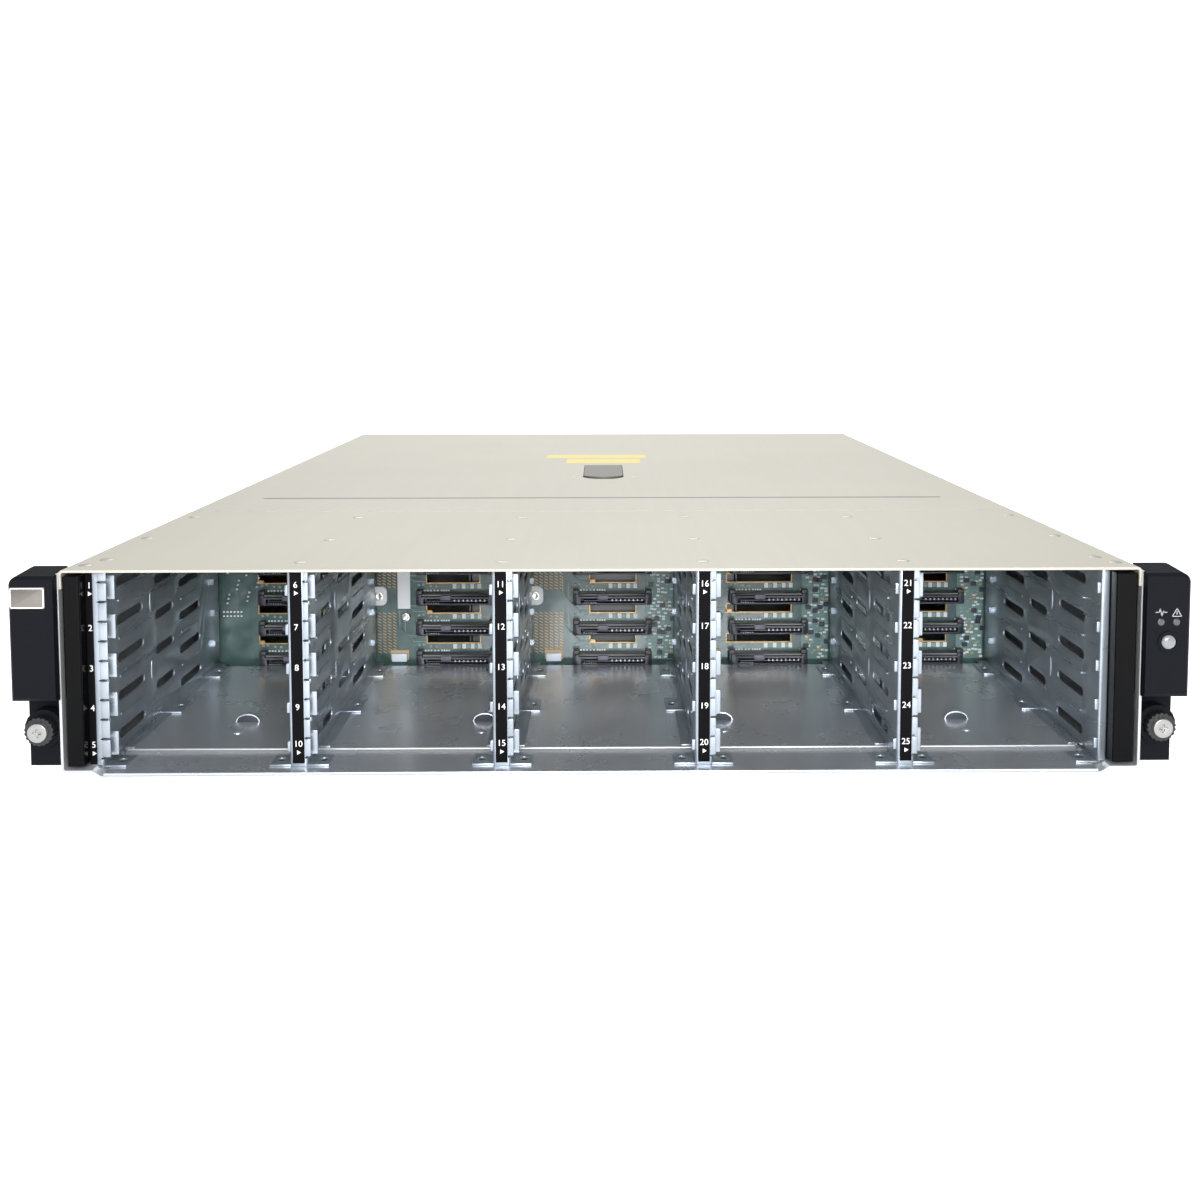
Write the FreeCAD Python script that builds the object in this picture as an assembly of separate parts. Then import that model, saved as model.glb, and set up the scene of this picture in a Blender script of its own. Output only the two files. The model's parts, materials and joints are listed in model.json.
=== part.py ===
"""Two-unit rack disk shelf with twenty-five empty small-form-factor drive bays.

The frame is millimetres with +Z up.  The origin lies under the middle of the base pan, at half its
depth, on the plane that the shelf rests on.  The bays open towards -Y and the modules slide out at +Y.
Depths inside the shelf are given from the front edge of the base pan and turned into frame
coordinates by deep().
"""
import FreeCAD
import Part
import math
import os

# ---------------------------------------------------------------- driving dimensions
CHASSIS_WIDTH = 448.0
CHASSIS_HEIGHT = 87.4
CHASSIS_DEPTH = 589.0
EAR_WIDTH = 17.3
PAN_SHEET = 1.2
COVER_SHEET = 1.2
CAGE_SHEET = 0.8
BEND = 0.6
SLIDE_GAP = 0.3
FIT_GAP = 0.2

# base pan
PAN_SLOPE = 4.0
PAN_LEDGE = 12.0
PAN_LUG_COUNT = 4
PAN_LUG_HEIGHT = 9.0
PAN_LUG_PITCH = 19.0
PAN_LUG_FIRST = 13.0
PAN_LUG_REACH = 2.2

# covers
FRONT_COVER_DEPTH = 148.8
COVER_SEAM = 0.4
COVER_FLANGE = 8.0
GROOVE_DEPTH_IN = 194.0
GROOVE_WIDTH = 3.0
GROOVE_SINK = 0.5
GROOVE_MARGIN = 27.0
RIVET_RADIUS = 2.7
RIVET_HEAD = 0.5
RIVET_SIDES = 6
RIVET_ROWS = (14.5, 66.0, 128.0)
EDGE_RIVETS = ((8.0, 10.0), (12.0, 21.0), (9.5, 71.5), (10.5, 131.0))

# cover latch
LATCH_WIDTH = 26.0
LATCH_FRONT = 286.0
LATCH_SHOULDER = 293.0
LATCH_REAR = 350.0
LATCH_PLATE = 1.8
LATCH_PROUD = 0.3
LATCH_PIN_RADIUS = 1.9
LATCH_MOUTH = 9.0
LATCH_TRAY_SINK = 5.4
LATCH_RIVET_X = 15.5 + 3.5
LATCH_RIVET_DEPTH = 292.0

# drive cage
CAGE_DEPTH = 151.0
LIP_DEPTH = 22.0
LIP_RAMP = 2.0
CAGE_SIDE_SPACE = 14.05
COLUMN_COUNT = 5
ROW_COUNT = 5
ROW_ALLOWANCE = 4.4
FIRST_ROW = 6.9
DIVIDER_WIDTH = 7.5
CAGE_SET_IN = 6.0
LEFT_WALL_FRONT = 5.5
RIGHT_WALL_FRONT = 3.6
FOLD = 1.1
LABEL_SHEET = 0.4
LABEL_MARGIN = 1.3
LABEL_LEFT_WIDTH = 2.7
LABEL_FOOT = 0.4
SLIT_DROP = 1.0
SLIT_HEIGHT = 0.8
SLIT_LENGTH = 4.0
GUIDE_SHARE = 0.62
GUIDE_REACH = 2.2
GUIDE_SETBACK = 3.0
NUB_REACH = 1.2
NUB_HEIGHT = 4.5
NUB_DEPTH = 2.4
NUB_RISE = 1.5
SLOT_HEIGHT = 4.3
OUTER_SLOTS = ((36.0, 28.0), (108.0, 28.0))
MIDDLE_SLOTS = ((75.0, 22.0),)
SLOT_RISE = 3.9
FOOT_ROWS = (79.0, 134.0)
FRONT_FOOT = 6.5
FRONT_FOOT_LENGTH = 12.0
FOOT_LENGTH = 18.0
FOOT_REACH = 8.7
DOME_RADIUS = 5.2
DOME_CROWN = 2.6
DOME_HEIGHT = 2.4
DOME_DEPTH_IN = 58.0
DOME_SHIFT_OUTER = 5.0
DOME_SHIFT_INNER = 30.0
FILLER_GAP = 0.4
FILLER_BACK_GAP = 0.4
FILLER_PROUD = 0.5
FILLER_WALL = 1.5
FILLER_FOOT = 5.2
FILLER_TOP_GAP = 1.2

# drive backplane
BACKPLANE_DEPTH_IN = 153.0
BOARD = 2.4
BOARD_SIDE_GAP = 2.0
BOARD_FOOT_GAP = 0.4
BOARD_TOP_GAP = 1.2
CONNECTOR_LEFT = -16.5
CONNECTOR_WIDTH = 42.8
CONNECTOR_HEIGHT = 7.5
CONNECTOR_REACH = 6.6
SOCKET_WIDTH = 33.0
SOCKET_HEIGHT = 3.4
SOCKET_DEPTH = 4.4
VENT_RIGHT = 17.6
VENT_LEFTS = (-17.3, -11.0, -7.0, -17.4, 2.6)
VENT_HEIGHT = 4.2
VENT_RISE = 9.4
SCREW_ROWS = (39.3, 72.5)
SCREW_SETBACK = 5.8
SCREW_RADIUS = 3.2
SCREW_HEAD = 1.6

# rack ears
EAR_PLANE = 10.0
EAR_SHEET = 2.0
EAR_FOOT = 2.0
EAR_TOP = 86.8
BEZEL_TOP_DROP = 1.2
BEZEL_FOOT = 34.3
BEZEL_BACK_FOOT = 31.2
BEZEL_OVERLAP = 1.0
BEZEL_PROUD = 4.5
BEZEL_CORNER = 4.0
BEZEL_EDGE = 1.2
BEZEL_WALL = 1.6
BADGE_MARGIN = 2.6
BADGE_HEIGHT = 9.3
BADGE_SINK = 0.4
BADGE_Z = 76.9
BADGE_SIDE = 0.45
BUTTON_Z = 57.2
BUTTON_RADIUS = 3.0
BUTTON_PROUD = 1.4
BUTTON_COLLAR = 4.5
BUTTON_BEVEL = 1.0
BUTTON_COLLAR_PROUD = 0.5
LENS_Z = 65.5
LENS_RADIUS = 1.5
LENS_SPREAD = 3.4
LENS_PROUD = 0.15

# captive rack screws, on the standard hole pitch of a nineteen-inch rack
RACK_HOLE_INSET = 8.75
THUMB_Z = 20.0
BOSS_RADIUS = 8.0
BOSS_LENGTH = 6.0
BOSS_SIDES = 16
BOSS_LIP = 1.0
KNOB_RADIUS = 6.0
KNOB_LENGTH = 4.0
THUMB_HEAD_RADIUS = 4.3
THUMB_HEAD = 1.7
THUMB_HEAD_BEVEL = 0.6
THUMB_SHANK_RADIUS = 2.5
THUMB_SHANK_GAP = 0.05
THUMB_REACH = 9.0
RING_RADIUS = 4.6
RING = 1.4
RING_NECK = 1.9

# rear modules
PLAY = 0.6
PARTITION = 1.2
PARTITION_TOP_GAP = 1.4
PARTITION_FOOT = 8.0
MODULE_TOP_GAP = 1.6
MODULE_LIFT = 0.5
MODULE_WALL = 1.2
PSU_WIDTH = 56.0
PSU_LENGTH = 250.0
PSU_SIDE_GAP = 1.4
FAN_WIDTH = 86.0
FAN_LENGTH = 74.0
IO_BACKPLANE_GAP = 12.0
IO_SOCKET_WIDTH = 46.0
IO_SOCKET_HEIGHT = 8.0
IO_SOCKET_SPREAD = 44.0
LEDGE = 7.0
LEDGE_SHEET = 1.2
LEDGE_SETBACK = 4.0

# power supply fittings
HANDLE_REACH = 24.0
HANDLE_ROD = 5.0
HANDLE_TOP_GAP = 9.6
HANDLE_FOOT_GAP = 2.5
HANDLE_CORNER = 6.0
INLET_WIDTH = 27.0
INLET_HEIGHT = 20.0
INLET_CAVITY_WIDTH = 24.2
INLET_CAVITY_HEIGHT = 16.6
INLET_CAVITY_DEPTH = 15.0
INLET_BACK = 2.0
INLET_FLANGE = 2.0
INLET_LIP = 2.5
INLET_RISE = 13.9
INLET_CUT = 5.0
PIN_WIDTH = 2.0
PIN_HEIGHT = 4.0
PIN_LENGTH = 9.5
PIN_SPREAD = 7.0
GRILLE_SINK = 1.0
PAWL_WIDTH = 12.0
PAWL_SHEET = 1.6
PAWL_LIP = 7.0
PAWL_PIN_RADIUS = 1.4
PAWL_EAR = 2.0
PAWL_EAR_GAP = 0.2

# fan fittings
FAN_RIM = 2.85
BLADE_TIP_GAP = 1.6
ROTOR_LENGTH = 25.0
ROTOR_SETBACK = 14.0
HUB_RADIUS = 15.0
BLADE_COUNT = 7
BLADE_SHEET = 1.4
BLADE_PITCH = 38.0
SPINDLE_RADIUS = 2.0
SPINDLE_GAP = 0.06
STATOR_LENGTH = 6.0
STATOR_RADIUS = 13.0
STRUT_WIDTH = 3.2
STRUT_COUNT = 4
GUARD_SHARES = (0.92, 0.56)
GUARD_BAND = 1.6
GUARD_SHEET = 1.4
GUARD_SIDES = 12
BORE_SIDES = 32
GUARD_HUB_RADIUS = 9.0
GUARD_TAB = 2.6

# input and output modules
PORT_COUNT = 2
PORT_WIDTH = 19.0
PORT_HEIGHT = 9.6
PORT_DEPTH = 16.0
PORT_WALL = 0.8
PORT_PITCH = 34.0
PORT_FIRST = -30.0
PORT_RISE = 11.0
PORT_PROUD = 1.2
LEVER_LENGTH = 62.0
LEVER_HEIGHT = 9.0
LEVER_DEPTH = 3.2
LEVER_GAP = 0.6
LEVER_CLEVIS = 1.6
LEVER_END = 14.0
LEVER_LOW = 7.0
LEVER_HOOK = 5.0

# bus bars and power boards
BUS_WIDTH = 14.0
BUS_THICK = 3.0
BUS_Z = 30.0
POWER_BOARD_GAP = 7.0
POWER_BOARD_HEIGHT = 66.0
POWER_SOCKET_WIDTH = 34.0
POWER_SOCKET_HEIGHT = 12.0

# ---------------------------------------------------------------- places worked out from them
FRONT_Y = -CHASSIS_DEPTH / 2
HALF_WIDTH = CHASSIS_WIDTH / 2
HALF_RACK = HALF_WIDTH + EAR_WIDTH
PAN_INNER = HALF_WIDTH - PAN_SHEET
COVER_UNDER = CHASSIS_HEIGHT - COVER_SHEET
PAN_TOP = COVER_UNDER - SLIDE_GAP
CAGE_FLOOR_UNDER = 2 * PAN_SHEET
CAGE_FLOOR_TOP = CAGE_FLOOR_UNDER + PAN_SHEET
PAN_RISE = CAGE_FLOOR_TOP - PAN_SHEET
CAGE_FLOOR_DEPTH = BACKPLANE_DEPTH_IN - CONNECTOR_REACH - BOARD_FOOT_GAP
PAN_FLAT = HALF_WIDTH - PAN_LEDGE - PAN_SLOPE
CAGE_TOP = COVER_UNDER
RACK_HOLE_X = HALF_RACK - RACK_HOLE_INSET
FLANGE_SIDE = HALF_RACK - BEZEL_WALL - FIT_GAP
FLANGE_TOP = EAR_TOP - BEZEL_WALL - FIT_GAP
BEZEL_INNER = HALF_WIDTH - BEZEL_OVERLAP
BADGE_WIDTH = EAR_WIDTH - BADGE_MARGIN
ROW_PITCH = (CHASSIS_HEIGHT - ROW_ALLOWANCE) / ROW_COUNT
GUIDE_HEIGHT = ROW_PITCH * GUIDE_SHARE
WALL_INNER = PAN_INNER - CAGE_SIDE_SPACE
BAY_PITCH = (2 * WALL_INNER + DIVIDER_WIDTH) / COLUMN_COUNT
FILLER_OUTER = PAN_INNER - COVER_SHEET - FILLER_GAP
REAR_FLANGE_INNER = PAN_INNER - SLIDE_GAP - COVER_SHEET
PSU_OUTER = REAR_FLANGE_INNER - PSU_SIDE_GAP
PSU_INNER = PSU_OUTER - PSU_WIDTH
OUTER_PARTITION = PSU_INNER - PLAY - PARTITION
FAN_OUTER = OUTER_PARTITION - PLAY
FAN_INNER = FAN_OUTER - FAN_WIDTH
INNER_PARTITION = FAN_INNER - PLAY - PARTITION
IO_HALF = INNER_PARTITION - PLAY
MODULE_FOOT = PAN_SHEET + PARTITION + MODULE_LIFT
PSU_FOOT = CAGE_FLOOR_TOP + MODULE_LIFT
MODULE_TOP = COVER_UNDER - MODULE_TOP_GAP
IO_LENGTH = CHASSIS_DEPTH - BACKPLANE_DEPTH_IN - BOARD - IO_BACKPLANE_GAP
INLET_Z = PSU_FOOT + INLET_RISE
HANDLE_FOOT = INLET_Z + INLET_HEIGHT / 2 + INLET_LIP + HANDLE_FOOT_GAP
HANDLE_SPAN = MODULE_TOP - HANDLE_TOP_GAP - HANDLE_FOOT
GRILLE_RADIUS = HANDLE_SPAN / 2
GRILLE_Z = HANDLE_FOOT + HANDLE_SPAN / 2
FAN_BORE_RADIUS = (MODULE_TOP - MODULE_FOOT) / 2 - FAN_RIM
ROTOR_RADIUS = FAN_BORE_RADIUS - BLADE_TIP_GAP
IO_TOP = CHASSIS_HEIGHT - LATCH_TRAY_SINK - CAGE_SHEET - MODULE_LIFT
LEDGE_Z = (MODULE_FOOT + IO_TOP - LEDGE_SHEET) / 2
IO_FEET = {"lower": MODULE_FOOT, "upper": LEDGE_Z + LEDGE_SHEET + MODULE_LIFT}
IO_TOPS = {"lower": LEDGE_Z - MODULE_LIFT, "upper": IO_TOP}
PSU_MID = (PSU_OUTER + PSU_INNER) / 2
FAN_MID_X = (FAN_OUTER + FAN_INNER) / 2
FAN_MID_Z = (MODULE_FOOT + MODULE_TOP) / 2
BEZEL_MID = (BEZEL_INNER + HALF_RACK) / 2
REAR_Y = FRONT_Y + CHASSIS_DEPTH
BACKPLANE_Y = FRONT_Y + BACKPLANE_DEPTH_IN
DIVIDER_CENTRES = [(index + 1 - COLUMN_COUNT / 2) * BAY_PITCH for index in range(COLUMN_COUNT - 1)]
COLUMN_CENTRES = [(index + 0.5 - COLUMN_COUNT / 2) * BAY_PITCH for index in range(COLUMN_COUNT)]


# ---------------------------------------------------------------- helpers
def deep(distance):
    """Frame Y of a place that lies this far behind the front edge of the base pan."""
    return FRONT_Y + distance


def block(x, y, z):
    """Box between the two limits given on each axis, in either order."""
    low = FreeCAD.Vector(min(x), min(y), min(z))
    return Part.makeBox(max(x) - low.x, max(y) - low.y, max(z) - low.z, low)


def rod(radius, centre, along, length):
    """Cylinder that starts at a centre and runs along a direction."""
    return Part.makeCylinder(radius, length, FreeCAD.Vector(*centre), FreeCAD.Vector(*along))


def mirrored(shape):
    """The same shape on the other side of the shelf."""
    return shape.mirror(FreeCAD.Vector(0, 0, 0), FreeCAD.Vector(1, 0, 0))


def on_plane(name, u, v):
    """Point of a flat outline: XY lies flat, XZ faces the front and YZ faces the side."""
    return {"XY": FreeCAD.Vector(u, v, 0), "XZ": FreeCAD.Vector(u, 0, v), "YZ": FreeCAD.Vector(0, u, v)}[name]


def across(name, distance):
    """Vector square to a named plane."""
    return {"XY": FreeCAD.Vector(0, 0, distance), "XZ": FreeCAD.Vector(0, distance, 0),
            "YZ": FreeCAD.Vector(distance, 0, 0)}[name]


def plate(plane, points, start, end):
    """Polygon on a named plane, given thickness from start to end."""
    corners = [on_plane(plane, u, v) for u, v in points]
    face = Part.Face(Part.makePolygon(corners + corners[:1]))
    face.translate(across(plane, min(start, end)))
    return face.extrude(across(plane, abs(end - start)))


def folded(plane, points, sheet, start, end, bend=BEND):
    """Sheet folded along a line of points, with its metal on the left of the way they run."""
    near, far = [], []

    def note(kind, u, v, side_u, side_v):
        near.append((kind, u, v))
        far.append((kind, u + side_u * sheet, v + side_v * sheet))

    def heading(a, b):
        length = math.hypot(b[0] - a[0], b[1] - a[1])
        return (b[0] - a[0]) / length, (b[1] - a[1]) / length

    first = heading(points[0], points[1])
    note("end", points[0][0], points[0][1], -first[1], first[0])
    for before, corner, after in zip(points, points[1:], points[2:]):
        into, out = heading(before, corner), heading(corner, after)
        turn = math.atan2(into[0] * out[1] - into[1] * out[0], into[0] * out[0] + into[1] * out[1])
        radius = bend + (sheet if turn > 0 else 0)
        reach = radius * math.tan(abs(turn) / 2)
        sign = math.copysign(1, turn)
        start_u, start_v = corner[0] - into[0] * reach, corner[1] - into[1] * reach
        centre_u, centre_v = start_u - into[1] * radius * sign, start_v + into[0] * radius * sign
        half = turn / 2
        left_u = -into[1] * math.cos(half) - into[0] * math.sin(half)
        left_v = into[0] * math.cos(half) - into[1] * math.sin(half)
        note("in", start_u, start_v, -into[1], into[0])
        note("mid", centre_u - left_u * radius * sign, centre_v - left_v * radius * sign, left_u, left_v)
        note("out", corner[0] + out[0] * reach, corner[1] + out[1] * reach, -out[1], out[0])
    last = heading(points[-2], points[-1])
    note("end", points[-1][0], points[-1][1], -last[1], last[0])

    def side_edges(marks):
        places = [on_plane(plane, u, v) for kind, u, v in marks]
        edges = []
        index = 0
        while index < len(marks) - 1:
            if marks[index + 1][0] == "mid":
                edges.append(Part.Arc(*places[index:index + 3]).toShape())
                index += 2
            else:
                edges.append(Part.makeLine(places[index], places[index + 1]))
                index += 1
        return edges, places

    near_edges, near_places = side_edges(near)
    far_edges, far_places = side_edges(far)
    caps = [Part.makeLine(near_places[-1], far_places[-1]), Part.makeLine(far_places[0], near_places[0])]
    outline = Part.Wire(Part.__sortEdges__(near_edges + caps + far_edges))
    face = Part.Face(outline)
    face.translate(across(plane, min(start, end)))
    return face.extrude(across(plane, abs(end - start)))


def slot_hole(centre_y, centre_z, length, height, x):
    """Long hole through an upright wall that runs front to back."""
    return block(x, (centre_y - length / 2, centre_y + length / 2),
                 (centre_z - height / 2, centre_z + height / 2))


def many_sided(radius, sides, centre_u, centre_v, plane, start, end):
    """Upright prism with equal sides, for small round things that need few faces."""
    step = 2 * math.pi / sides
    turns = [(index + 0.5) * step for index in range(sides)]
    points = [(centre_u + radius * math.cos(turn), centre_v + radius * math.sin(turn)) for turn in turns]
    return plate(plane, points, start, end)


def cut_corner_panel(width, height, corner, centre_x, centre_z, start, end):
    """Upright panel that faces the front, with its four corners cut off."""
    half, rise = width / 2, height / 2
    panel = block((centre_x - half, centre_x + half), (start, end), (centre_z - rise, centre_z + rise))
    upright = [edge for edge in panel.Edges if abs(edge.tangentAt(edge.FirstParameter).y) > 0.99]
    return panel.makeChamfer(corner, upright)


# ---------------------------------------------------------------- outer case
def base_pan():
    """Tray with both outer side walls, its long corners joggled up above the resting face."""
    low = HALF_WIDTH - PAN_LEDGE
    outline = [(-HALF_WIDTH, PAN_TOP), (-HALF_WIDTH, PAN_RISE), (-low, PAN_RISE), (-PAN_FLAT, 0),
               (PAN_FLAT, 0), (low, PAN_RISE), (HALF_WIDTH, PAN_RISE), (HALF_WIDTH, PAN_TOP)]
    pan = folded("XZ", outline, PAN_SHEET, deep(0), REAR_Y)
    for side in (-1, 1):
        for bottom in lug_bottoms():
            window = block((side * (PAN_INNER - 1), side * (HALF_WIDTH + 1)),
                           (deep(EAR_PLANE - FIT_GAP), deep(EAR_PLANE + EAR_SHEET + FIT_GAP)),
                           (bottom - FIT_GAP, bottom + PAN_LUG_HEIGHT + FIT_GAP))
            pan = pan.cut(window)
    return pan


def lug_bottoms():
    """Heights at which the lugs of an ear bracket start."""
    return [PAN_LUG_FIRST + index * PAN_LUG_PITCH for index in range(PAN_LUG_COUNT)]


def cover_section(half, start, end):
    """Lid sheet whose two long edges are folded down inside the side walls."""
    outline = [(half, CHASSIS_HEIGHT - COVER_FLANGE), (half, CHASSIS_HEIGHT),
               (-half, CHASSIS_HEIGHT), (-half, CHASSIS_HEIGHT - COVER_FLANGE)]
    return folded("XZ", outline, COVER_SHEET, start, end)


def front_top_cover():
    """Fixed lid over the drive cage."""
    return cover_section(PAN_INNER, deep(0), deep(FRONT_COVER_DEPTH))


def rivet_places():
    """Places of the rivets that hold the front lid to the dividers and side walls."""
    places = [(x, deep(row)) for x in DIVIDER_CENTRES for row in RIVET_ROWS]
    for inset, row in EDGE_RIVETS:
        places += [(side * (HALF_WIDTH - inset), deep(row)) for side in (-1, 1)]
    return places


def rivet_head(x, y):
    """Low round head of one rivet, lying on a lid."""
    return many_sided(RIVET_RADIUS, RIVET_SIDES, x, y, "XY", CHASSIS_HEIGHT, CHASSIS_HEIGHT + RIVET_HEAD)


def top_rivets():
    """All rivets of the front lid."""
    return Part.makeCompound([rivet_head(x, y) for x, y in rivet_places()])


def latch_outline(half, front, shoulder, rear, start, end):
    """Tongue shape seen from above: straight sides and a bowed front edge."""
    points = [on_plane("XY", -half, deep(shoulder)), on_plane("XY", 0, deep(front)),
              on_plane("XY", half, deep(shoulder))]
    bow = Part.Arc(*points).toShape()
    corners = [points[2], on_plane("XY", half, deep(rear)), on_plane("XY", -half, deep(rear)), points[0]]
    sides = [Part.makeLine(a, b) for a, b in zip(corners, corners[1:])]
    face = Part.Face(Part.Wire([bow] + sides))
    face.translate(FreeCAD.Vector(0, 0, start))
    return face.extrude(FreeCAD.Vector(0, 0, end - start))


def rear_cover():
    """Removable lid that slides back, with a pressed groove and the sunk tray of its latch."""
    half = PAN_INNER - SLIDE_GAP
    cover = cover_section(half, deep(FRONT_COVER_DEPTH + COVER_SEAM), REAR_Y)
    groove = block((-HALF_WIDTH + GROOVE_MARGIN, HALF_WIDTH - GROOVE_MARGIN),
                   (deep(GROOVE_DEPTH_IN), deep(GROOVE_DEPTH_IN + GROOVE_WIDTH)),
                   (CHASSIS_HEIGHT - GROOVE_SINK, CHASSIS_HEIGHT + 1))
    cover = cover.cut(groove)
    mouth_half = LATCH_WIDTH / 2 + SLIDE_GAP
    front = LATCH_FRONT - LATCH_MOUTH
    rear = LATCH_REAR + LATCH_PIN_RADIUS + SLIDE_GAP
    floor = CHASSIS_HEIGHT - LATCH_TRAY_SINK
    hole = latch_outline(mouth_half, front, LATCH_SHOULDER, rear, floor, CHASSIS_HEIGHT + 1)
    tray = latch_outline(mouth_half + CAGE_SHEET, front - CAGE_SHEET, LATCH_SHOULDER - CAGE_SHEET,
                         rear + CAGE_SHEET, floor - CAGE_SHEET, COVER_UNDER + COVER_SHEET / 2)
    return cover.fuse(tray).cut(hole).removeSplitter()


def latch_axis_z():
    """Height of the latch hinge axis."""
    return CHASSIS_HEIGHT + LATCH_PROUD - LATCH_PIN_RADIUS


def cover_latch():
    """Lever with a bowed front edge, ribs beneath it and a hinge barrel at its rear end."""
    top = CHASSIS_HEIGHT + LATCH_PROUD
    half = LATCH_WIDTH / 2
    tongue = latch_outline(half, LATCH_FRONT, LATCH_SHOULDER, LATCH_REAR, top - LATCH_PLATE, top)
    barrel = rod(LATCH_PIN_RADIUS, (-half, deep(LATCH_REAR), latch_axis_z()), (1, 0, 0), LATCH_WIDTH)
    lever = tongue.fuse(barrel)
    for x in (-half, half - LATCH_PLATE):
        lever = lever.fuse(block((x, x + LATCH_PLATE), (deep(LATCH_SHOULDER + 2), deep(LATCH_REAR)),
                                 (top - 2 * LATCH_PLATE, top - LATCH_PLATE)))
    return lever.removeSplitter()


def latch_rivets():
    """Two rivets that hold the latch tray to the rear lid."""
    return Part.makeCompound([rivet_head(side * LATCH_RIVET_X, deep(LATCH_RIVET_DEPTH))
                              for side in (-1, 1)])


# ---------------------------------------------------------------- drive cage
def cage_floor():
    """Inner floor with a lower front lip, a ramp up and a raised dome under each outer column."""
    outline = [(deep(0), PAN_SHEET), (deep(LIP_DEPTH), PAN_SHEET),
               (deep(LIP_DEPTH + LIP_RAMP), CAGE_FLOOR_UNDER), (deep(CAGE_FLOOR_DEPTH), CAGE_FLOOR_UNDER)]
    floor = folded("YZ", outline, PAN_SHEET, -WALL_INNER, WALL_INNER, bend=0.3)
    for side in (-1, 1):
        floor = floor.cut(block((side * (PAN_FLAT - PAN_SHEET), side * HALF_WIDTH),
                                (deep(-1), deep(LIP_DEPTH + 2 * LIP_RAMP)), (0, CAGE_FLOOR_TOP + 1)))
    inner, outer = BAY_PITCH - DOME_SHIFT_INNER, 2 * BAY_PITCH - DOME_SHIFT_OUTER
    for x in (-outer, -inner, inner, outer):
        floor = floor.fuse(stop_dome(x))
    return floor


def stop_dome(x):
    """Half-round bump pressed up from the floor, open and upright at its front."""
    low = CAGE_FLOOR_TOP - PAN_SHEET / 2
    turns = [2 * math.pi * index / BOSS_SIDES for index in range(BOSS_SIDES + 1)]
    rims = []
    for radius, height in ((DOME_RADIUS, low), (DOME_CROWN, low + DOME_HEIGHT)):
        rims.append(Part.makePolygon([FreeCAD.Vector(x + radius * math.cos(turn),
                                                     deep(DOME_DEPTH_IN) + radius * math.sin(turn), height)
                                      for turn in turns]))
    bump = Part.makeLoft(rims, True, True)
    keep = block((x - DOME_RADIUS, x + DOME_RADIUS),
                 (deep(DOME_DEPTH_IN), deep(DOME_DEPTH_IN + DOME_RADIUS)), (low, low + DOME_HEIGHT))
    return bump.common(keep)


def wall_slots(x):
    """Long air holes of one cage wall: two full columns and one between them, half a row up."""
    holes = []
    for row in range(ROW_COUNT):
        height = FIRST_ROW + SLOT_RISE + row * ROW_PITCH
        holes += [slot_hole(deep(y), height, length, SLOT_HEIGHT, x) for y, length in OUTER_SLOTS]
        if row < ROW_COUNT - 1:
            holes += [slot_hole(deep(y), height + ROW_PITCH / 2, length, SLOT_HEIGHT, x)
                      for y, length in MIDDLE_SLOTS]
    return Part.makeCompound(holes)


def comb_slits(face, side):
    """Slits round the front fold of a wall, one to a row, that free its guides."""
    slits = []
    for row in range(ROW_COUNT):
        base = FIRST_ROW - SLIT_DROP + row * ROW_PITCH
        slits.append(block((face - side * FOLD, face + side),
                           (deep(CAGE_SET_IN - 1), deep(CAGE_SET_IN + SLIT_LENGTH)),
                           (base, base + SLIT_HEIGHT)))
    return Part.makeCompound(slits)


def guides(face, side):
    """Lances turned into a bay behind the front fold of a wall, one under each carrier's rail."""
    front = CAGE_SET_IN + GUIDE_SETBACK
    pieces = []
    for row in range(ROW_COUNT):
        base = FIRST_ROW - SLIT_DROP + SLIT_HEIGHT + row * ROW_PITCH
        pieces.append(block((face - side * CAGE_SHEET / 2, face + side * GUIDE_REACH),
                            (deep(front), deep(front + CAGE_SHEET)), (base, base + GUIDE_HEIGHT)))
    return pieces


def guide_nubs(face, side):
    """Low stops on the opposite face of a bay."""
    pieces = []
    for row in range(ROW_COUNT):
        base = FIRST_ROW + NUB_RISE + row * ROW_PITCH
        pieces.append(block((face - side * CAGE_SHEET / 2, face + side * NUB_REACH),
                            (deep(CAGE_SET_IN + FOLD), deep(CAGE_SET_IN + FOLD + NUB_DEPTH)),
                            (base, base + NUB_HEIGHT)))
    return pieces


def wall_feet(face, side):
    """Feet turned out from the bottom of a wall: one on the front lip, the others on the floor."""
    spans = [(FRONT_FOOT, FRONT_FOOT + FRONT_FOOT_LENGTH, CAGE_FLOOR_UNDER)]
    spans += [(row - FOOT_LENGTH / 2, row + FOOT_LENGTH / 2, CAGE_FLOOR_TOP) for row in FOOT_ROWS]
    return [block((face - side * CAGE_SHEET / 2, face + side * FOOT_REACH), (deep(start), deep(end)),
                  (rest, rest + CAGE_SHEET)) for start, end, rest in spans]


def above_floor(low, high):
    """What a wall between two places loses where the floor rises behind its front lip."""
    return block((low - 1, high + 1), (deep(LIP_DEPTH - SLIDE_GAP), deep(CAGE_DEPTH + 1)),
                 (0, CAGE_FLOOR_TOP))


def folded_edges(body, *places):
    """Takes the sharpness off the upright front edges of a wall at the given places across."""
    edges = [edge for edge in body.Edges
             if edge.BoundBox.YMax < deep(CAGE_SET_IN) + 0.01 and edge.BoundBox.ZLength > 1
             and min(abs(edge.BoundBox.XMin - place) for place in places) < 0.01]
    return body.makeChamfer(FOLD, edges)


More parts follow.
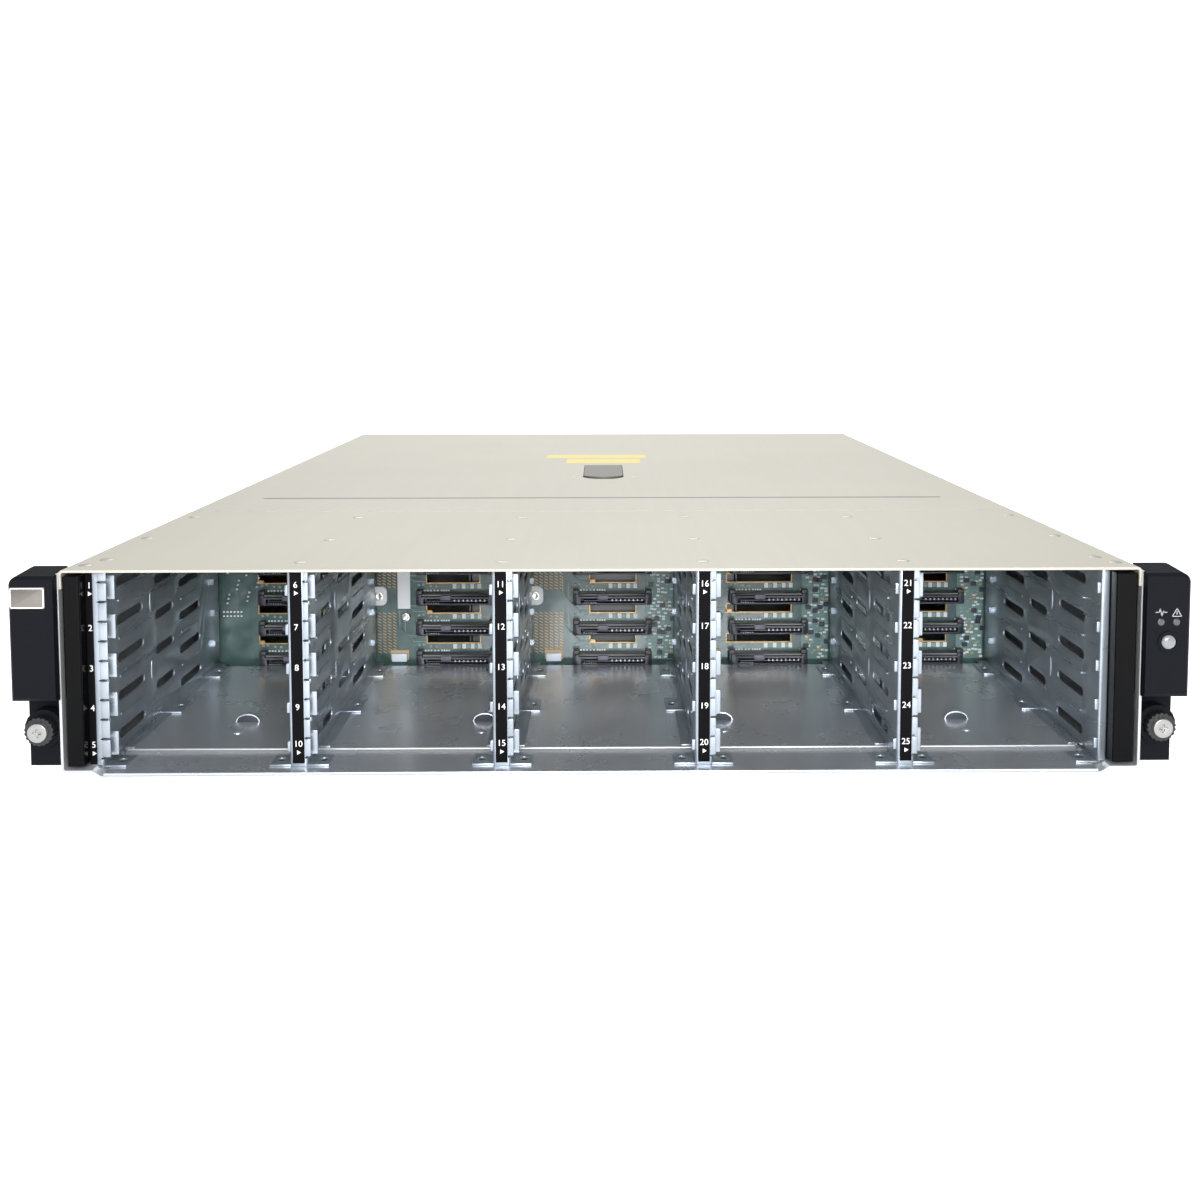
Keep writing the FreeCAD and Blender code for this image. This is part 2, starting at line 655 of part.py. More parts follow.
def divider(centre):
    """Double-walled divider turned from one sheet round its front edge, with feet on the cage floor."""
    left, right = centre - DIVIDER_WIDTH / 2, centre + DIVIDER_WIDTH / 2
    body = block((left, right), (deep(CAGE_SET_IN), deep(CAGE_DEPTH)), (CAGE_FLOOR_UNDER, CAGE_TOP))
    body = folded_edges(body, left, right)
    body = body.cut(block((left + CAGE_SHEET, right - CAGE_SHEET),
                          (deep(CAGE_SET_IN + CAGE_SHEET), deep(CAGE_DEPTH + 1)), (0, CAGE_TOP + 1)))
    body = body.cut(above_floor(left, right)).cut(comb_slits(right, 1))
    body = body.fuse(guides(right, 1) + guide_nubs(left, -1) + wall_feet(right, 1) + wall_feet(left, -1))
    return body.cut(wall_slots((left - 1, right + 1))).removeSplitter()


def cage_wall(side, flange):
    """Single-sheet outer wall whose front edge is turned outward into a flange of a given width."""
    inner = side * WALL_INNER
    heights = (CAGE_FLOOR_UNDER, CAGE_TOP)
    sheet = block((inner, inner + side * CAGE_SHEET), (deep(CAGE_SET_IN), deep(CAGE_DEPTH)), heights)
    front = block((inner, inner + side * flange), (deep(CAGE_SET_IN), deep(CAGE_SET_IN + CAGE_SHEET)),
                  (CAGE_FLOOR_TOP, CAGE_TOP))
    wall = sheet.fuse(front).removeSplitter().cut(above_floor(inner - 1, inner + 1))
    return wall.fuse(wall_feet(inner, -side)).cut(wall_slots((inner - 2, inner + 2)))


def cage_wall_left():
    """Wall with the guides of the first column and a flange that carries its number strip."""
    wall = cage_wall(-1, LEFT_WALL_FRONT).cut(comb_slits(-WALL_INNER, 1))
    return wall.fuse(guides(-WALL_INNER, 1)).removeSplitter()


def cage_wall_right():
    """Wall with a narrow front flange and the low stops of the last column."""
    return cage_wall(1, RIGHT_WALL_FRONT).fuse(guide_nubs(WALL_INNER, -1)).removeSplitter()


def bay_label_strips():
    """Thin number strips on the front edges of the left wall and the dividers."""
    half = DIVIDER_WIDTH / 2 - LABEL_MARGIN
    outer = -WALL_INNER - LEFT_WALL_FRONT
    spans = [(outer, outer + LABEL_LEFT_WIDTH)]
    spans += [(centre - half, centre + half) for centre in DIVIDER_CENTRES]
    heights = (CAGE_FLOOR_TOP + LABEL_FOOT, CAGE_TOP - FILLER_TOP_GAP)
    front = (deep(CAGE_SET_IN - LABEL_SHEET), deep(CAGE_SET_IN))
    return Part.makeCompound([block(span, front, heights) for span in spans])


def side_filler(inner, outer):
    """Moulded bar that closes the gap between the cage and the outer wall, open at its back."""
    heights = (FILLER_FOOT, COVER_UNDER - FILLER_TOP_GAP)
    back = EAR_PLANE - FILLER_BACK_GAP
    bar = block((inner, outer), (deep(-FILLER_PROUD), deep(back)), heights)
    front = [edge for edge in bar.Edges
             if edge.BoundBox.YMax < deep(-FILLER_PROUD) + 0.01 and edge.BoundBox.ZLength > 1]
    bar = bar.makeFillet(FILLER_WALL * 0.6, front)
    hollow = block((inner + math.copysign(FILLER_WALL, outer), outer - math.copysign(FILLER_WALL, outer)),
                   (deep(FILLER_WALL), deep(back + 1)),
                   (heights[0] + FILLER_WALL, heights[1] - FILLER_WALL))
    return bar.cut(hollow)


# ---------------------------------------------------------------- drive backplane
def row_heights():
    """Middle height of each row of drives."""
    return [FIRST_ROW + row * ROW_PITCH for row in range(ROW_COUNT)]


def drive_backplane():
    """Circuit board across the back of the cage, with an air slot over every connector."""
    board = block((-WALL_INNER - BOARD_SIDE_GAP, WALL_INNER + BOARD_SIDE_GAP),
                  (BACKPLANE_Y, BACKPLANE_Y + BOARD),
                  (PAN_SHEET + BOARD_FOOT_GAP, COVER_UNDER - BOARD_TOP_GAP))
    through = (BACKPLANE_Y - 1, BACKPLANE_Y + BOARD + 1)
    vents = []
    for centre, left in zip(COLUMN_CENTRES, VENT_LEFTS):
        for height in row_heights():
            top = height + VENT_RISE + VENT_HEIGHT / 2
            if top < COVER_UNDER - BOARD_TOP_GAP - BOARD:
                vents.append(block((centre + left, centre + VENT_RIGHT), through,
                                   (top - VENT_HEIGHT, top)))
    for side in (-1, 1):
        vents.append(block((side * (PAN_FLAT - PAN_SHEET), side * HALF_WIDTH), through,
                           (0, CAGE_FLOOR_TOP + BOARD_FOOT_GAP)))
    return board.cut(Part.makeCompound(vents))


def drive_connector(centre, height):
    """Receptacle for one drive: a block with a long socket in its face."""
    left = centre + CONNECTOR_LEFT
    right = left + CONNECTOR_WIDTH
    rise = CONNECTOR_HEIGHT / 2
    front = BACKPLANE_Y - CONNECTOR_REACH
    body = block((left, right), (front, BACKPLANE_Y), (height - rise, height + rise))
    middle = (left + right) / 2
    socket = block((middle - SOCKET_WIDTH / 2, middle + SOCKET_WIDTH / 2),
                   (front - 1, front + SOCKET_DEPTH),
                   (height - SOCKET_HEIGHT / 2, height + SOCKET_HEIGHT / 2))
    return body.cut(socket)


def drive_connectors():
    """One receptacle for every bay."""
    return Part.makeCompound([drive_connector(centre, height)
                              for centre in COLUMN_CENTRES for height in row_heights()])


def backplane_screws():
    """Pan heads of the screws that hold the board beside each divider."""
    pieces = []
    for centre in DIVIDER_CENTRES:
        x = centre + DIVIDER_WIDTH / 2 + SCREW_SETBACK
        for height in SCREW_ROWS:
            pieces.append(many_sided(SCREW_RADIUS, RIVET_SIDES, x, height, "XZ", BACKPLANE_Y - SCREW_HEAD,
                                     BACKPLANE_Y))
    return Part.makeCompound(pieces)


def module_sockets():
    """Receptacles on the back of the board that the two cable modules plug into."""
    start = BACKPLANE_Y + BOARD
    sockets = []
    for level in ("lower", "upper"):
        middle = (IO_FEET[level] + IO_TOPS[level]) / 2
        for x in (-IO_SOCKET_SPREAD, IO_SOCKET_SPREAD):
            sockets.append(block((x - IO_SOCKET_WIDTH / 2, x + IO_SOCKET_WIDTH / 2),
                                 (start, start + IO_BACKPLANE_GAP - PLAY),
                                 (middle - IO_SOCKET_HEIGHT / 2, middle + IO_SOCKET_HEIGHT / 2)))
    return Part.makeCompound(sockets)


# ---------------------------------------------------------------- rack ears
def ear_flange():
    """Right steel bracket: a flat flange with lugs that reach through windows in the pan wall."""
    sheet = (deep(EAR_PLANE), deep(EAR_PLANE + EAR_SHEET))
    flange = block((HALF_WIDTH, HALF_RACK), sheet, (EAR_FOOT, BEZEL_BACK_FOOT - FIT_GAP))
    flange = flange.fuse(block((HALF_WIDTH, FLANGE_SIDE), sheet, (EAR_FOOT, FLANGE_TOP)))
    for bottom in lug_bottoms():
        flange = flange.fuse(block((PAN_INNER - PAN_LUG_REACH, HALF_WIDTH + 1), sheet,
                                   (bottom, bottom + PAN_LUG_HEIGHT)))
    hole = screw_turning(THUMB_SHANK_RADIUS + THUMB_SHANK_GAP, sheet[0] - 1, sheet[1] + 1)
    return flange.removeSplitter().cut(hole)


def bezel_side(inset):
    """Side outline of the ear cap, drawn in from the real one on every side but the open back."""
    front, back = deep(-BEZEL_PROUD + inset), deep(EAR_PLANE + EAR_SHEET)
    return [(front, BEZEL_FOOT + inset), (back, BEZEL_BACK_FOOT + inset), (back, EAR_TOP - inset),
            (front, EAR_TOP - BEZEL_TOP_DROP - inset)]


def ear_bezel():
    """Right moulded cap round the upper part of the ear, rounded at its outer top and open behind."""
    shell = plate("YZ", bezel_side(0), BEZEL_INNER, HALF_RACK)
    corner = [edge for edge in shell.Edges if edge.BoundBox.XMin > HALF_RACK - 0.01
              and edge.BoundBox.ZMin > EAR_TOP - BEZEL_TOP_DROP - 0.01]
    shell = shell.makeFillet(BEZEL_CORNER, corner)
    rim = [edge for edge in shell.Edges if edge.BoundBox.YMax < deep(-BEZEL_PROUD) + 0.01
           and edge.BoundBox.XMax > BEZEL_INNER + 1]
    shell = shell.makeChamfer(BEZEL_EDGE, rim)
    hollow = plate("YZ", bezel_side(BEZEL_WALL), HALF_WIDTH + FIT_GAP + BEZEL_WALL,
                   HALF_RACK - BEZEL_WALL)
    wall_room = block((BEZEL_INNER - 1, HALF_WIDTH + FIT_GAP),
                      (deep(-FIT_GAP - FILLER_PROUD), deep(EAR_PLANE + EAR_SHEET + 1)),
                      (BEZEL_BACK_FOOT - 1, EAR_TOP + 1))
    flange_room = block((HALF_WIDTH - 1, FLANGE_SIDE + FIT_GAP),
                        (deep(EAR_PLANE), deep(EAR_PLANE + EAR_SHEET + 1)),
                        (BEZEL_BACK_FOOT - 1, FLANGE_TOP + FIT_GAP))
    return shell.cut(hollow).cut(wall_room).cut(flange_room)


def ear_bezel_left():
    """Left cap with a shallow bare recess near its top."""
    cap = mirrored(ear_bezel())
    outer = -HALF_RACK + BADGE_SIDE
    recess = block((outer, outer + BADGE_WIDTH),
                   (deep(-BEZEL_PROUD - 1), deep(-BEZEL_PROUD + BADGE_SINK)),
                   (BADGE_Z - BADGE_HEIGHT / 2, BADGE_Z + BADGE_HEIGHT / 2))
    return cap.cut(recess)


def ear_bezel_right():
    """Right cap with the bores of the locate button and the two status lights."""
    cap = ear_bezel()
    front = deep(-BEZEL_PROUD)
    collar = many_sided(BUTTON_COLLAR, BOSS_SIDES, BEZEL_MID, BUTTON_Z, "XZ", front - BUTTON_COLLAR_PROUD,
                        front + BEZEL_WALL)
    holes = [many_sided(BUTTON_RADIUS + FIT_GAP, BOSS_SIDES, BEZEL_MID, BUTTON_Z, "XZ",
                        front - BUTTON_COLLAR_PROUD - 1, front + BEZEL_WALL + 1)]
    for x in lens_places():
        holes.append(many_sided(LENS_RADIUS, RIVET_SIDES, x, LENS_Z, "XZ", front - 1,
                                front + BEZEL_WALL + 1))
    return cap.fuse(collar).cut(Part.makeCompound(holes))


def lens_places():
    """Middle of each status light across the right ear."""
    return [BEZEL_MID - LENS_SPREAD, BEZEL_MID + LENS_SPREAD]


def status_lenses():
    """Light pipes behind the two small windows."""
    start, end = deep(-BEZEL_PROUD - LENS_PROUD), deep(EAR_PLANE)
    return Part.makeCompound([many_sided(LENS_RADIUS, RIVET_SIDES, x, LENS_Z, "XZ", start, end)
                              for x in lens_places()])


def locate_button():
    """Domed push button with a stop flange behind the cap."""
    front = deep(-BEZEL_PROUD - BUTTON_PROUD)
    face = deep(-BEZEL_PROUD + BEZEL_WALL)
    stem = many_sided(BUTTON_RADIUS, BOSS_SIDES, BEZEL_MID, BUTTON_Z, "XZ", front, face + 2)
    rim = [edge for edge in stem.Edges if edge.BoundBox.YMax < front + 0.01]
    stem = stem.makeChamfer(BUTTON_BEVEL, rim)
    back = face + SLIDE_GAP
    stop = many_sided(BUTTON_COLLAR, RIVET_SIDES, BEZEL_MID, BUTTON_Z, "XZ", back, back + BEZEL_WALL)
    return stem.fuse(stop).removeSplitter()


def screw_turning(radius, start, end):
    """Stretch of the right captive screw, or of a bore for it, with enough sides to pass for round."""
    return many_sided(radius, BOSS_SIDES, RACK_HOLE_X, THUMB_Z, "XZ", start, end)


def thumb_boss():
    """Right collar pressed on the flange behind the knob of the captive screw."""
    start, end = deep(EAR_PLANE - BOSS_LENGTH), deep(EAR_PLANE)
    keep = block((HALF_WIDTH + FIT_GAP, HALF_RACK), (start - 1, end),
                 (THUMB_Z - BOSS_RADIUS, THUMB_Z + BOSS_RADIUS))
    bore = screw_turning(RING_RADIUS + SLIDE_GAP, start + BOSS_LIP, end + 1)
    mouth = screw_turning(THUMB_SHANK_RADIUS + SLIDE_GAP, start - 1, end)
    return screw_turning(BOSS_RADIUS, start, end).common(keep).cut(bore).cut(mouth)


def thumb_ring():
    """Right snap ring that rides in the neck of the captive screw and keeps it in its collar."""
    end = deep(EAR_PLANE) - SLIDE_GAP
    bore = screw_turning(RING_NECK + FIT_GAP / 2, end - RING - 1, end + 1)
    return screw_turning(RING_RADIUS, end - RING, end).cut(bore)


def thumbscrew():
    """Right captive screw: a grip knob, a driver head in front of it and a necked shank behind."""
    knob_end = deep(EAR_PLANE - BOSS_LENGTH) - SLIDE_GAP
    knob_start = knob_end - KNOB_LENGTH
    ring_end = deep(EAR_PLANE) - SLIDE_GAP
    ring_start = ring_end - RING
    tip_end = deep(EAR_PLANE + EAR_SHEET + THUMB_REACH)
    head = screw_turning(THUMB_HEAD_RADIUS, knob_start - THUMB_HEAD, knob_start + 1)
    rim = [edge for edge in head.Edges if edge.BoundBox.YMax < knob_start - THUMB_HEAD + 0.01]
    upper = screw_turning(THUMB_SHANK_RADIUS, knob_end - 1, ring_start - FIT_GAP / 4)
    neck = screw_turning(RING_NECK, knob_end, ring_end + 1)
    lower = screw_turning(THUMB_SHANK_RADIUS, ring_end + FIT_GAP / 4, tip_end)
    tip = [edge for edge in lower.Edges if edge.BoundBox.YMin > tip_end - 0.01]
    head, lower = head.makeChamfer(THUMB_HEAD_BEVEL, rim), lower.makeChamfer(THUMB_HEAD_BEVEL, tip)
    knob = screw_turning(KNOB_RADIUS, knob_start, knob_end)
    return knob.fuse([head, upper, neck, lower]).removeSplitter()


# ---------------------------------------------------------------- rear bays
def partition(inner_face, length):
    """Upright sheet between two module bays, with a foot turned along the pan."""
    outline = [(inner_face, COVER_UNDER - PARTITION_TOP_GAP), (inner_face, PAN_SHEET),
               (inner_face + PARTITION_FOOT, PAN_SHEET)]
    return folded("XZ", outline, PARTITION, deep(CHASSIS_DEPTH - length), REAR_Y)


def partition_outer():
    """Right sheet between the power supply and the fan."""
    return partition(OUTER_PARTITION, PSU_LENGTH + POWER_BOARD_GAP)


def partition_inner():
    """Right sheet between the fan and the input and output modules, with the ledge that parts them."""
    wall = partition(INNER_PARTITION, IO_LENGTH)
    start = deep(CHASSIS_DEPTH - IO_LENGTH)
    ledge = block((INNER_PARTITION - LEDGE, INNER_PARTITION + PARTITION / 2),
                  (start, deep(CHASSIS_DEPTH - LEDGE_SETBACK)), (LEDGE_Z, LEDGE_Z + LEDGE_SHEET))
    return wall.fuse(ledge).removeSplitter()


def power_boards():
    """Upright boards that take the plug of each power supply, one on each side."""
    y = deep(CHASSIS_DEPTH - PSU_LENGTH - POWER_BOARD_GAP)
    board = block((PSU_INNER, PSU_OUTER), (y - BOARD, y),
                  (CAGE_FLOOR_TOP, CAGE_FLOOR_TOP + POWER_BOARD_HEIGHT))
    socket = block((PSU_MID - POWER_SOCKET_WIDTH / 2, PSU_MID + POWER_SOCKET_WIDTH / 2),
                   (y - 1, y + POWER_BOARD_GAP - PLAY),
                   (BUS_Z, BUS_Z + POWER_SOCKET_HEIGHT))
    right = board.fuse(socket).removeSplitter()
    return Part.makeCompound([right, mirrored(right)])


def bus_bars():
    """Copper bars that carry the supply from each power board to the drive backplane."""
    board = deep(CHASSIS_DEPTH - PSU_LENGTH - POWER_BOARD_GAP) - BOARD
    x = PSU_MID
    bar = block((x - BUS_THICK / 2, x + BUS_THICK / 2), (BACKPLANE_Y + BOARD, board),
                (BUS_Z, BUS_Z + BUS_WIDTH))
    return Part.makeCompound([bar, mirrored(bar)])


# ---------------------------------------------------------------- power supply
def psu_case():
    """Right power supply: a sheet case with an exhaust recess, a mains inlet cut-out and a plug edge."""
    front = deep(CHASSIS_DEPTH - PSU_LENGTH)
    case = block((PSU_INNER, PSU_OUTER), (front, REAR_Y), (PSU_FOOT, MODULE_TOP))
    hollow = block((PSU_INNER + MODULE_WALL, PSU_OUTER - MODULE_WALL),
                   (front + MODULE_WALL, REAR_Y - 2 * MODULE_WALL),
                   (PSU_FOOT + MODULE_WALL, MODULE_TOP - MODULE_WALL))
    inlet = block((PSU_MID - INLET_WIDTH / 2, PSU_MID + INLET_WIDTH / 2),
                  (REAR_Y - 4 * MODULE_WALL, REAR_Y + 1),
                  (INLET_Z - INLET_HEIGHT / 2, INLET_Z + INLET_HEIGHT / 2))
    grille = many_sided(GRILLE_RADIUS, BORE_SIDES, PSU_MID, GRILLE_Z, "XZ", REAR_Y - GRILLE_SINK,
                        REAR_Y + 1)
    return case.cut(hollow).cut(inlet).cut(grille).fuse(pawl_ears(PSU_MID)).removeSplitter()


def psu_inlet():
    """Right mains inlet: a flanged socket with three flat pins."""
    half, rise = INLET_WIDTH / 2, INLET_HEIGHT / 2
    depth = INLET_CAVITY_DEPTH + INLET_BACK
    flange = cut_corner_panel(INLET_WIDTH + 2 * INLET_LIP, INLET_HEIGHT + 2 * INLET_LIP, INLET_LIP / 2,
                              PSU_MID, INLET_Z, REAR_Y, REAR_Y + INLET_FLANGE)
    body = block((PSU_MID - half + FIT_GAP, PSU_MID + half - FIT_GAP),
                 (REAR_Y + INLET_FLANGE - depth, REAR_Y + 1),
                 (INLET_Z - rise + FIT_GAP, INLET_Z + rise - FIT_GAP))
    x, z, cut = INLET_CAVITY_WIDTH / 2, INLET_CAVITY_HEIGHT / 2, INLET_CUT
    outline = [(-x, -z), (x, -z), (x, z - cut), (x - cut, z), (-x + cut, z), (-x, z - cut)]
    outline = [(PSU_MID + u, INLET_Z + v) for u, v in outline]
    mouth = REAR_Y + INLET_FLANGE
    floor = mouth - INLET_CAVITY_DEPTH
    cavity = plate("XZ", outline, floor, mouth + 1)
    socket = flange.fuse(body).cut(cavity)
    for offset, rise_pin in ((-PIN_SPREAD, -2.0), (0, 2.0), (PIN_SPREAD, -2.0)):
        pin_x, pin_z = PSU_MID + offset, INLET_Z + rise_pin
        socket = socket.fuse(block((pin_x - PIN_WIDTH / 2, pin_x + PIN_WIDTH / 2),
                                   (floor - 1, floor + PIN_LENGTH),
                                   (pin_z - PIN_HEIGHT / 2, pin_z + PIN_HEIGHT / 2)))
    return socket.removeSplitter()


def psu_handle():
    """Right bent bar handle over the exhaust."""
    x, low = PSU_MID, HANDLE_FOOT
    outline = [(REAR_Y, low), (REAR_Y + HANDLE_REACH, low),
               (REAR_Y + HANDLE_REACH, low + HANDLE_SPAN), (REAR_Y, low + HANDLE_SPAN)]
    return folded("YZ", outline, HANDLE_ROD, x - HANDLE_ROD, x + HANDLE_ROD,
                  bend=HANDLE_CORNER - HANDLE_ROD)


def pawl_axis():
    """Place of a release pawl's hinge axis behind the rear plane, and its height."""
    return REAR_Y + PAWL_PIN_RADIUS + SLIDE_GAP, MODULE_TOP - 2 * PAWL_SHEET


def pawl_ears(mid):
    """Two ears on the rear face of a module that hold the barrel of its release pawl."""
    depth, height = pawl_axis()
    start = PAWL_WIDTH / 2 + PAWL_EAR_GAP
    return [block((mid + side * start, mid + side * (start + PAWL_EAR)),
                  (REAR_Y - MODULE_WALL, depth + PAWL_PIN_RADIUS),
                  (height - PAWL_PIN_RADIUS, height + PAWL_PIN_RADIUS)) for side in (-1, 1)]


def release_pawl(mid):
    """Spring lever on the rear face of a module: a hinge barrel, a plate and a thumb lip."""
    half = PAWL_WIDTH / 2
    depth, height = pawl_axis()
    barrel = many_sided(PAWL_PIN_RADIUS, RIVET_SIDES, depth, height, "YZ", mid - half, mid + half)
    outline = [(depth, height - PAWL_SHEET / 2), (depth + PAWL_LIP, height - PAWL_SHEET / 2),
               (depth + PAWL_LIP, height + PAWL_LIP * 0.55)]
    blade = folded("YZ", outline, PAWL_SHEET, mid - half, mid + half)
    return barrel.fuse(blade).removeSplitter()


# ---------------------------------------------------------------- fan module
def fan_disc(radius, sides, start, end):
    """Prism with many sides about the right fan's axis."""
    return many_sided(radius, sides, FAN_MID_X, FAN_MID_Z, "XZ", start, end)


def fan_case():
    """Right fan module: a square duct with a round bore, and struts that carry the spindle."""
    front = deep(CHASSIS_DEPTH - FAN_LENGTH)
    case = block((FAN_INNER, FAN_OUTER), (front, REAR_Y), (MODULE_FOOT, MODULE_TOP))
    case = case.cut(fan_disc(FAN_BORE_RADIUS, BORE_SIDES, front - 1, REAR_Y + 1))
    stator_end = REAR_Y - ROTOR_SETBACK + STATOR_LENGTH + SLIDE_GAP
    stator_start = REAR_Y - ROTOR_SETBACK + SLIDE_GAP
    stator = [fan_disc(STATOR_RADIUS, GUARD_SIDES, stator_start, stator_end)]
    for index in range(STRUT_COUNT):
        strut = block((0, FAN_BORE_RADIUS + 2), (stator_start, stator_end),
                      (-STRUT_WIDTH / 2, STRUT_WIDTH / 2))
        strut.rotate(FreeCAD.Vector(0, 0, 0), FreeCAD.Vector(0, 1, 0), 45 + 360 * index / STRUT_COUNT)
        strut.translate(FreeCAD.Vector(FAN_MID_X, 0, FAN_MID_Z))
        stator.append(strut)
    stator.append(fan_disc(SPINDLE_RADIUS, GUARD_SIDES, stator_start - ROTOR_LENGTH + 4,
                           stator_start + 1))
    return case.fuse(stator + pawl_ears(FAN_MID_X)).removeSplitter()


def fan_rotor():
    """Right impeller: a cup hub with pitched blades, bored to turn on the spindle."""
    end = REAR_Y - ROTOR_SETBACK
    start = end - ROTOR_LENGTH
    hub = fan_disc(HUB_RADIUS, GUARD_SIDES, start, end)
    reach = block((HUB_RADIUS - 1, ROTOR_RADIUS + 3), (-ROTOR_LENGTH, ROTOR_LENGTH),
                  (-BLADE_SHEET / 2, BLADE_SHEET / 2))
    reach.rotate(FreeCAD.Vector(0, 0, 0), FreeCAD.Vector(1, 0, 0), BLADE_PITCH)
    blades = []
    for index in range(BLADE_COUNT):
        blade = reach.copy()
        blade.rotate(FreeCAD.Vector(0, 0, 0), FreeCAD.Vector(0, 1, 0), 360 * index / BLADE_COUNT)
        blade.translate(FreeCAD.Vector(FAN_MID_X, (start + end) / 2, FAN_MID_Z))
        blades.append(blade)
    swept = fan_disc(ROTOR_RADIUS, BORE_SIDES, start + 2, end - 2)
    blades = [blade.common(swept) for blade in blades]
    bore = fan_disc(SPINDLE_RADIUS + SPINDLE_GAP, GUARD_SIDES, start, end + 1)
    nose = fan_disc(SPINDLE_RADIUS + SPINDLE_GAP, GUARD_SIDES, start, start + 3)
    return hub.fuse(blades).removeSplitter().cut(bore).fuse(nose).removeSplitter()


def fan_guard():
    """Right finger guard: flat rings on four spokes, screwed over the outlet."""
    start, end = REAR_Y, REAR_Y + GUARD_SHEET
    pieces = []
    for share in GUARD_SHARES:
        radius = FAN_BORE_RADIUS * share
        ring = fan_disc(radius + GUARD_BAND / 2, GUARD_SIDES, start, end)
        pieces.append(ring.cut(fan_disc(radius - GUARD_BAND / 2, GUARD_SIDES, start - 1, end + 1)))
    pieces.append(fan_disc(GUARD_HUB_RADIUS, RIVET_SIDES, start, end))
    for index in range(STRUT_COUNT):
        spoke = block((0, FAN_BORE_RADIUS + GUARD_TAB), (start, end), (-GUARD_BAND, GUARD_BAND))
        spoke.rotate(FreeCAD.Vector(0, 0, 0), FreeCAD.Vector(0, 1, 0), 45 + 360 * index / STRUT_COUNT)
        spoke.translate(FreeCAD.Vector(FAN_MID_X, 0, FAN_MID_Z))
        pieces.append(spoke)
    return pieces[0].fuse(pieces[1:]).removeSplitter()


# ---------------------------------------------------------------- input and output modules
def port_places(level):
    """Middle of each cable port of one module, across and up."""
    height = IO_FEET[level] + PORT_RISE
    return [(PORT_FIRST + index * PORT_PITCH, height) for index in range(PORT_COUNT)]


def io_module(level):
    """Closed tray with a flanged rear face and a cut-out for every cable port."""
    front = deep(CHASSIS_DEPTH - IO_LENGTH)
    foot, top = IO_FEET[level], IO_TOPS[level]
    case = block((-IO_HALF, IO_HALF), (front, REAR_Y), (foot, top))
    back = REAR_Y - PORT_DEPTH - 4 * MODULE_WALL
    hollow = block((-IO_HALF + MODULE_WALL, IO_HALF - MODULE_WALL),
                   (front + MODULE_WALL, back - MODULE_WALL), (foot + MODULE_WALL, top - MODULE_WALL))
    ports = [block((x - PORT_WIDTH / 2, x + PORT_WIDTH / 2), (REAR_Y - PORT_DEPTH, REAR_Y + 1),
                   (z - PORT_HEIGHT / 2, z + PORT_HEIGHT / 2)) for x, z in port_places(level)]
    clevis = []
    gap = LEVER_HEIGHT / 2 + PAWL_EAR_GAP
    for low in (lever_z(level) - gap - LEVER_CLEVIS, lever_z(level) + gap):
        clevis.append(block((lever_axis_x() - LEVER_DEPTH, lever_axis_x() + LEVER_DEPTH),
                            (REAR_Y - MODULE_WALL, REAR_Y + LEVER_GAP + LEVER_DEPTH + 2),
                            (low, low + LEVER_CLEVIS)))
    return case.cut(hollow).cut(Part.makeCompound(ports)).fuse(clevis).removeSplitter()


def io_ports(level):
    """Thin metal cages that line the cable ports."""
    cages = []
    for x, z in port_places(level):
        half, rise = PORT_WIDTH / 2 - FIT_GAP, PORT_HEIGHT / 2 - FIT_GAP
        outer = block((x - half, x + half), (REAR_Y - PORT_DEPTH, REAR_Y + PORT_PROUD),
                      (z - rise, z + rise))
        inner = block((x - half + PORT_WALL, x + half - PORT_WALL),
                      (REAR_Y - PORT_DEPTH + PORT_WALL, REAR_Y + 2 * PORT_PROUD),
                      (z - rise + PORT_WALL, z + rise - PORT_WALL))
        cages.append(outer.cut(inner))
    return Part.makeCompound(cages)


def lever_axis_x():
    """Place across of the ejector lever's hinge."""
    return IO_HALF - LEVER_END


def lever_z(level):
    """Middle height of one ejector lever."""
    return IO_TOPS[level] - LEVER_LOW


def io_lever(level):
    """Ejector lever along the rear face: a hinge barrel, an arm and a hooked finger end."""
    z = lever_z(level)
    y = REAR_Y + LEVER_GAP + LEVER_DEPTH / 2
    low, high = z - LEVER_HEIGHT / 2, z + LEVER_HEIGHT / 2
    pivot = lever_axis_x()
    barrel = rod(LEVER_DEPTH / 2 + 0.6, (pivot, y + 0.6, low), (0, 0, 1), LEVER_HEIGHT)
    outline = [(pivot, y + LEVER_DEPTH / 2), (pivot - LEVER_LENGTH, y + LEVER_DEPTH / 2),
               (pivot - LEVER_LENGTH - LEVER_HOOK, y + LEVER_DEPTH / 2 + LEVER_HOOK)]
    arm = folded("XY", outline, LEVER_DEPTH, low, high, bend=1.0)
    return barrel.fuse(arm).removeSplitter()


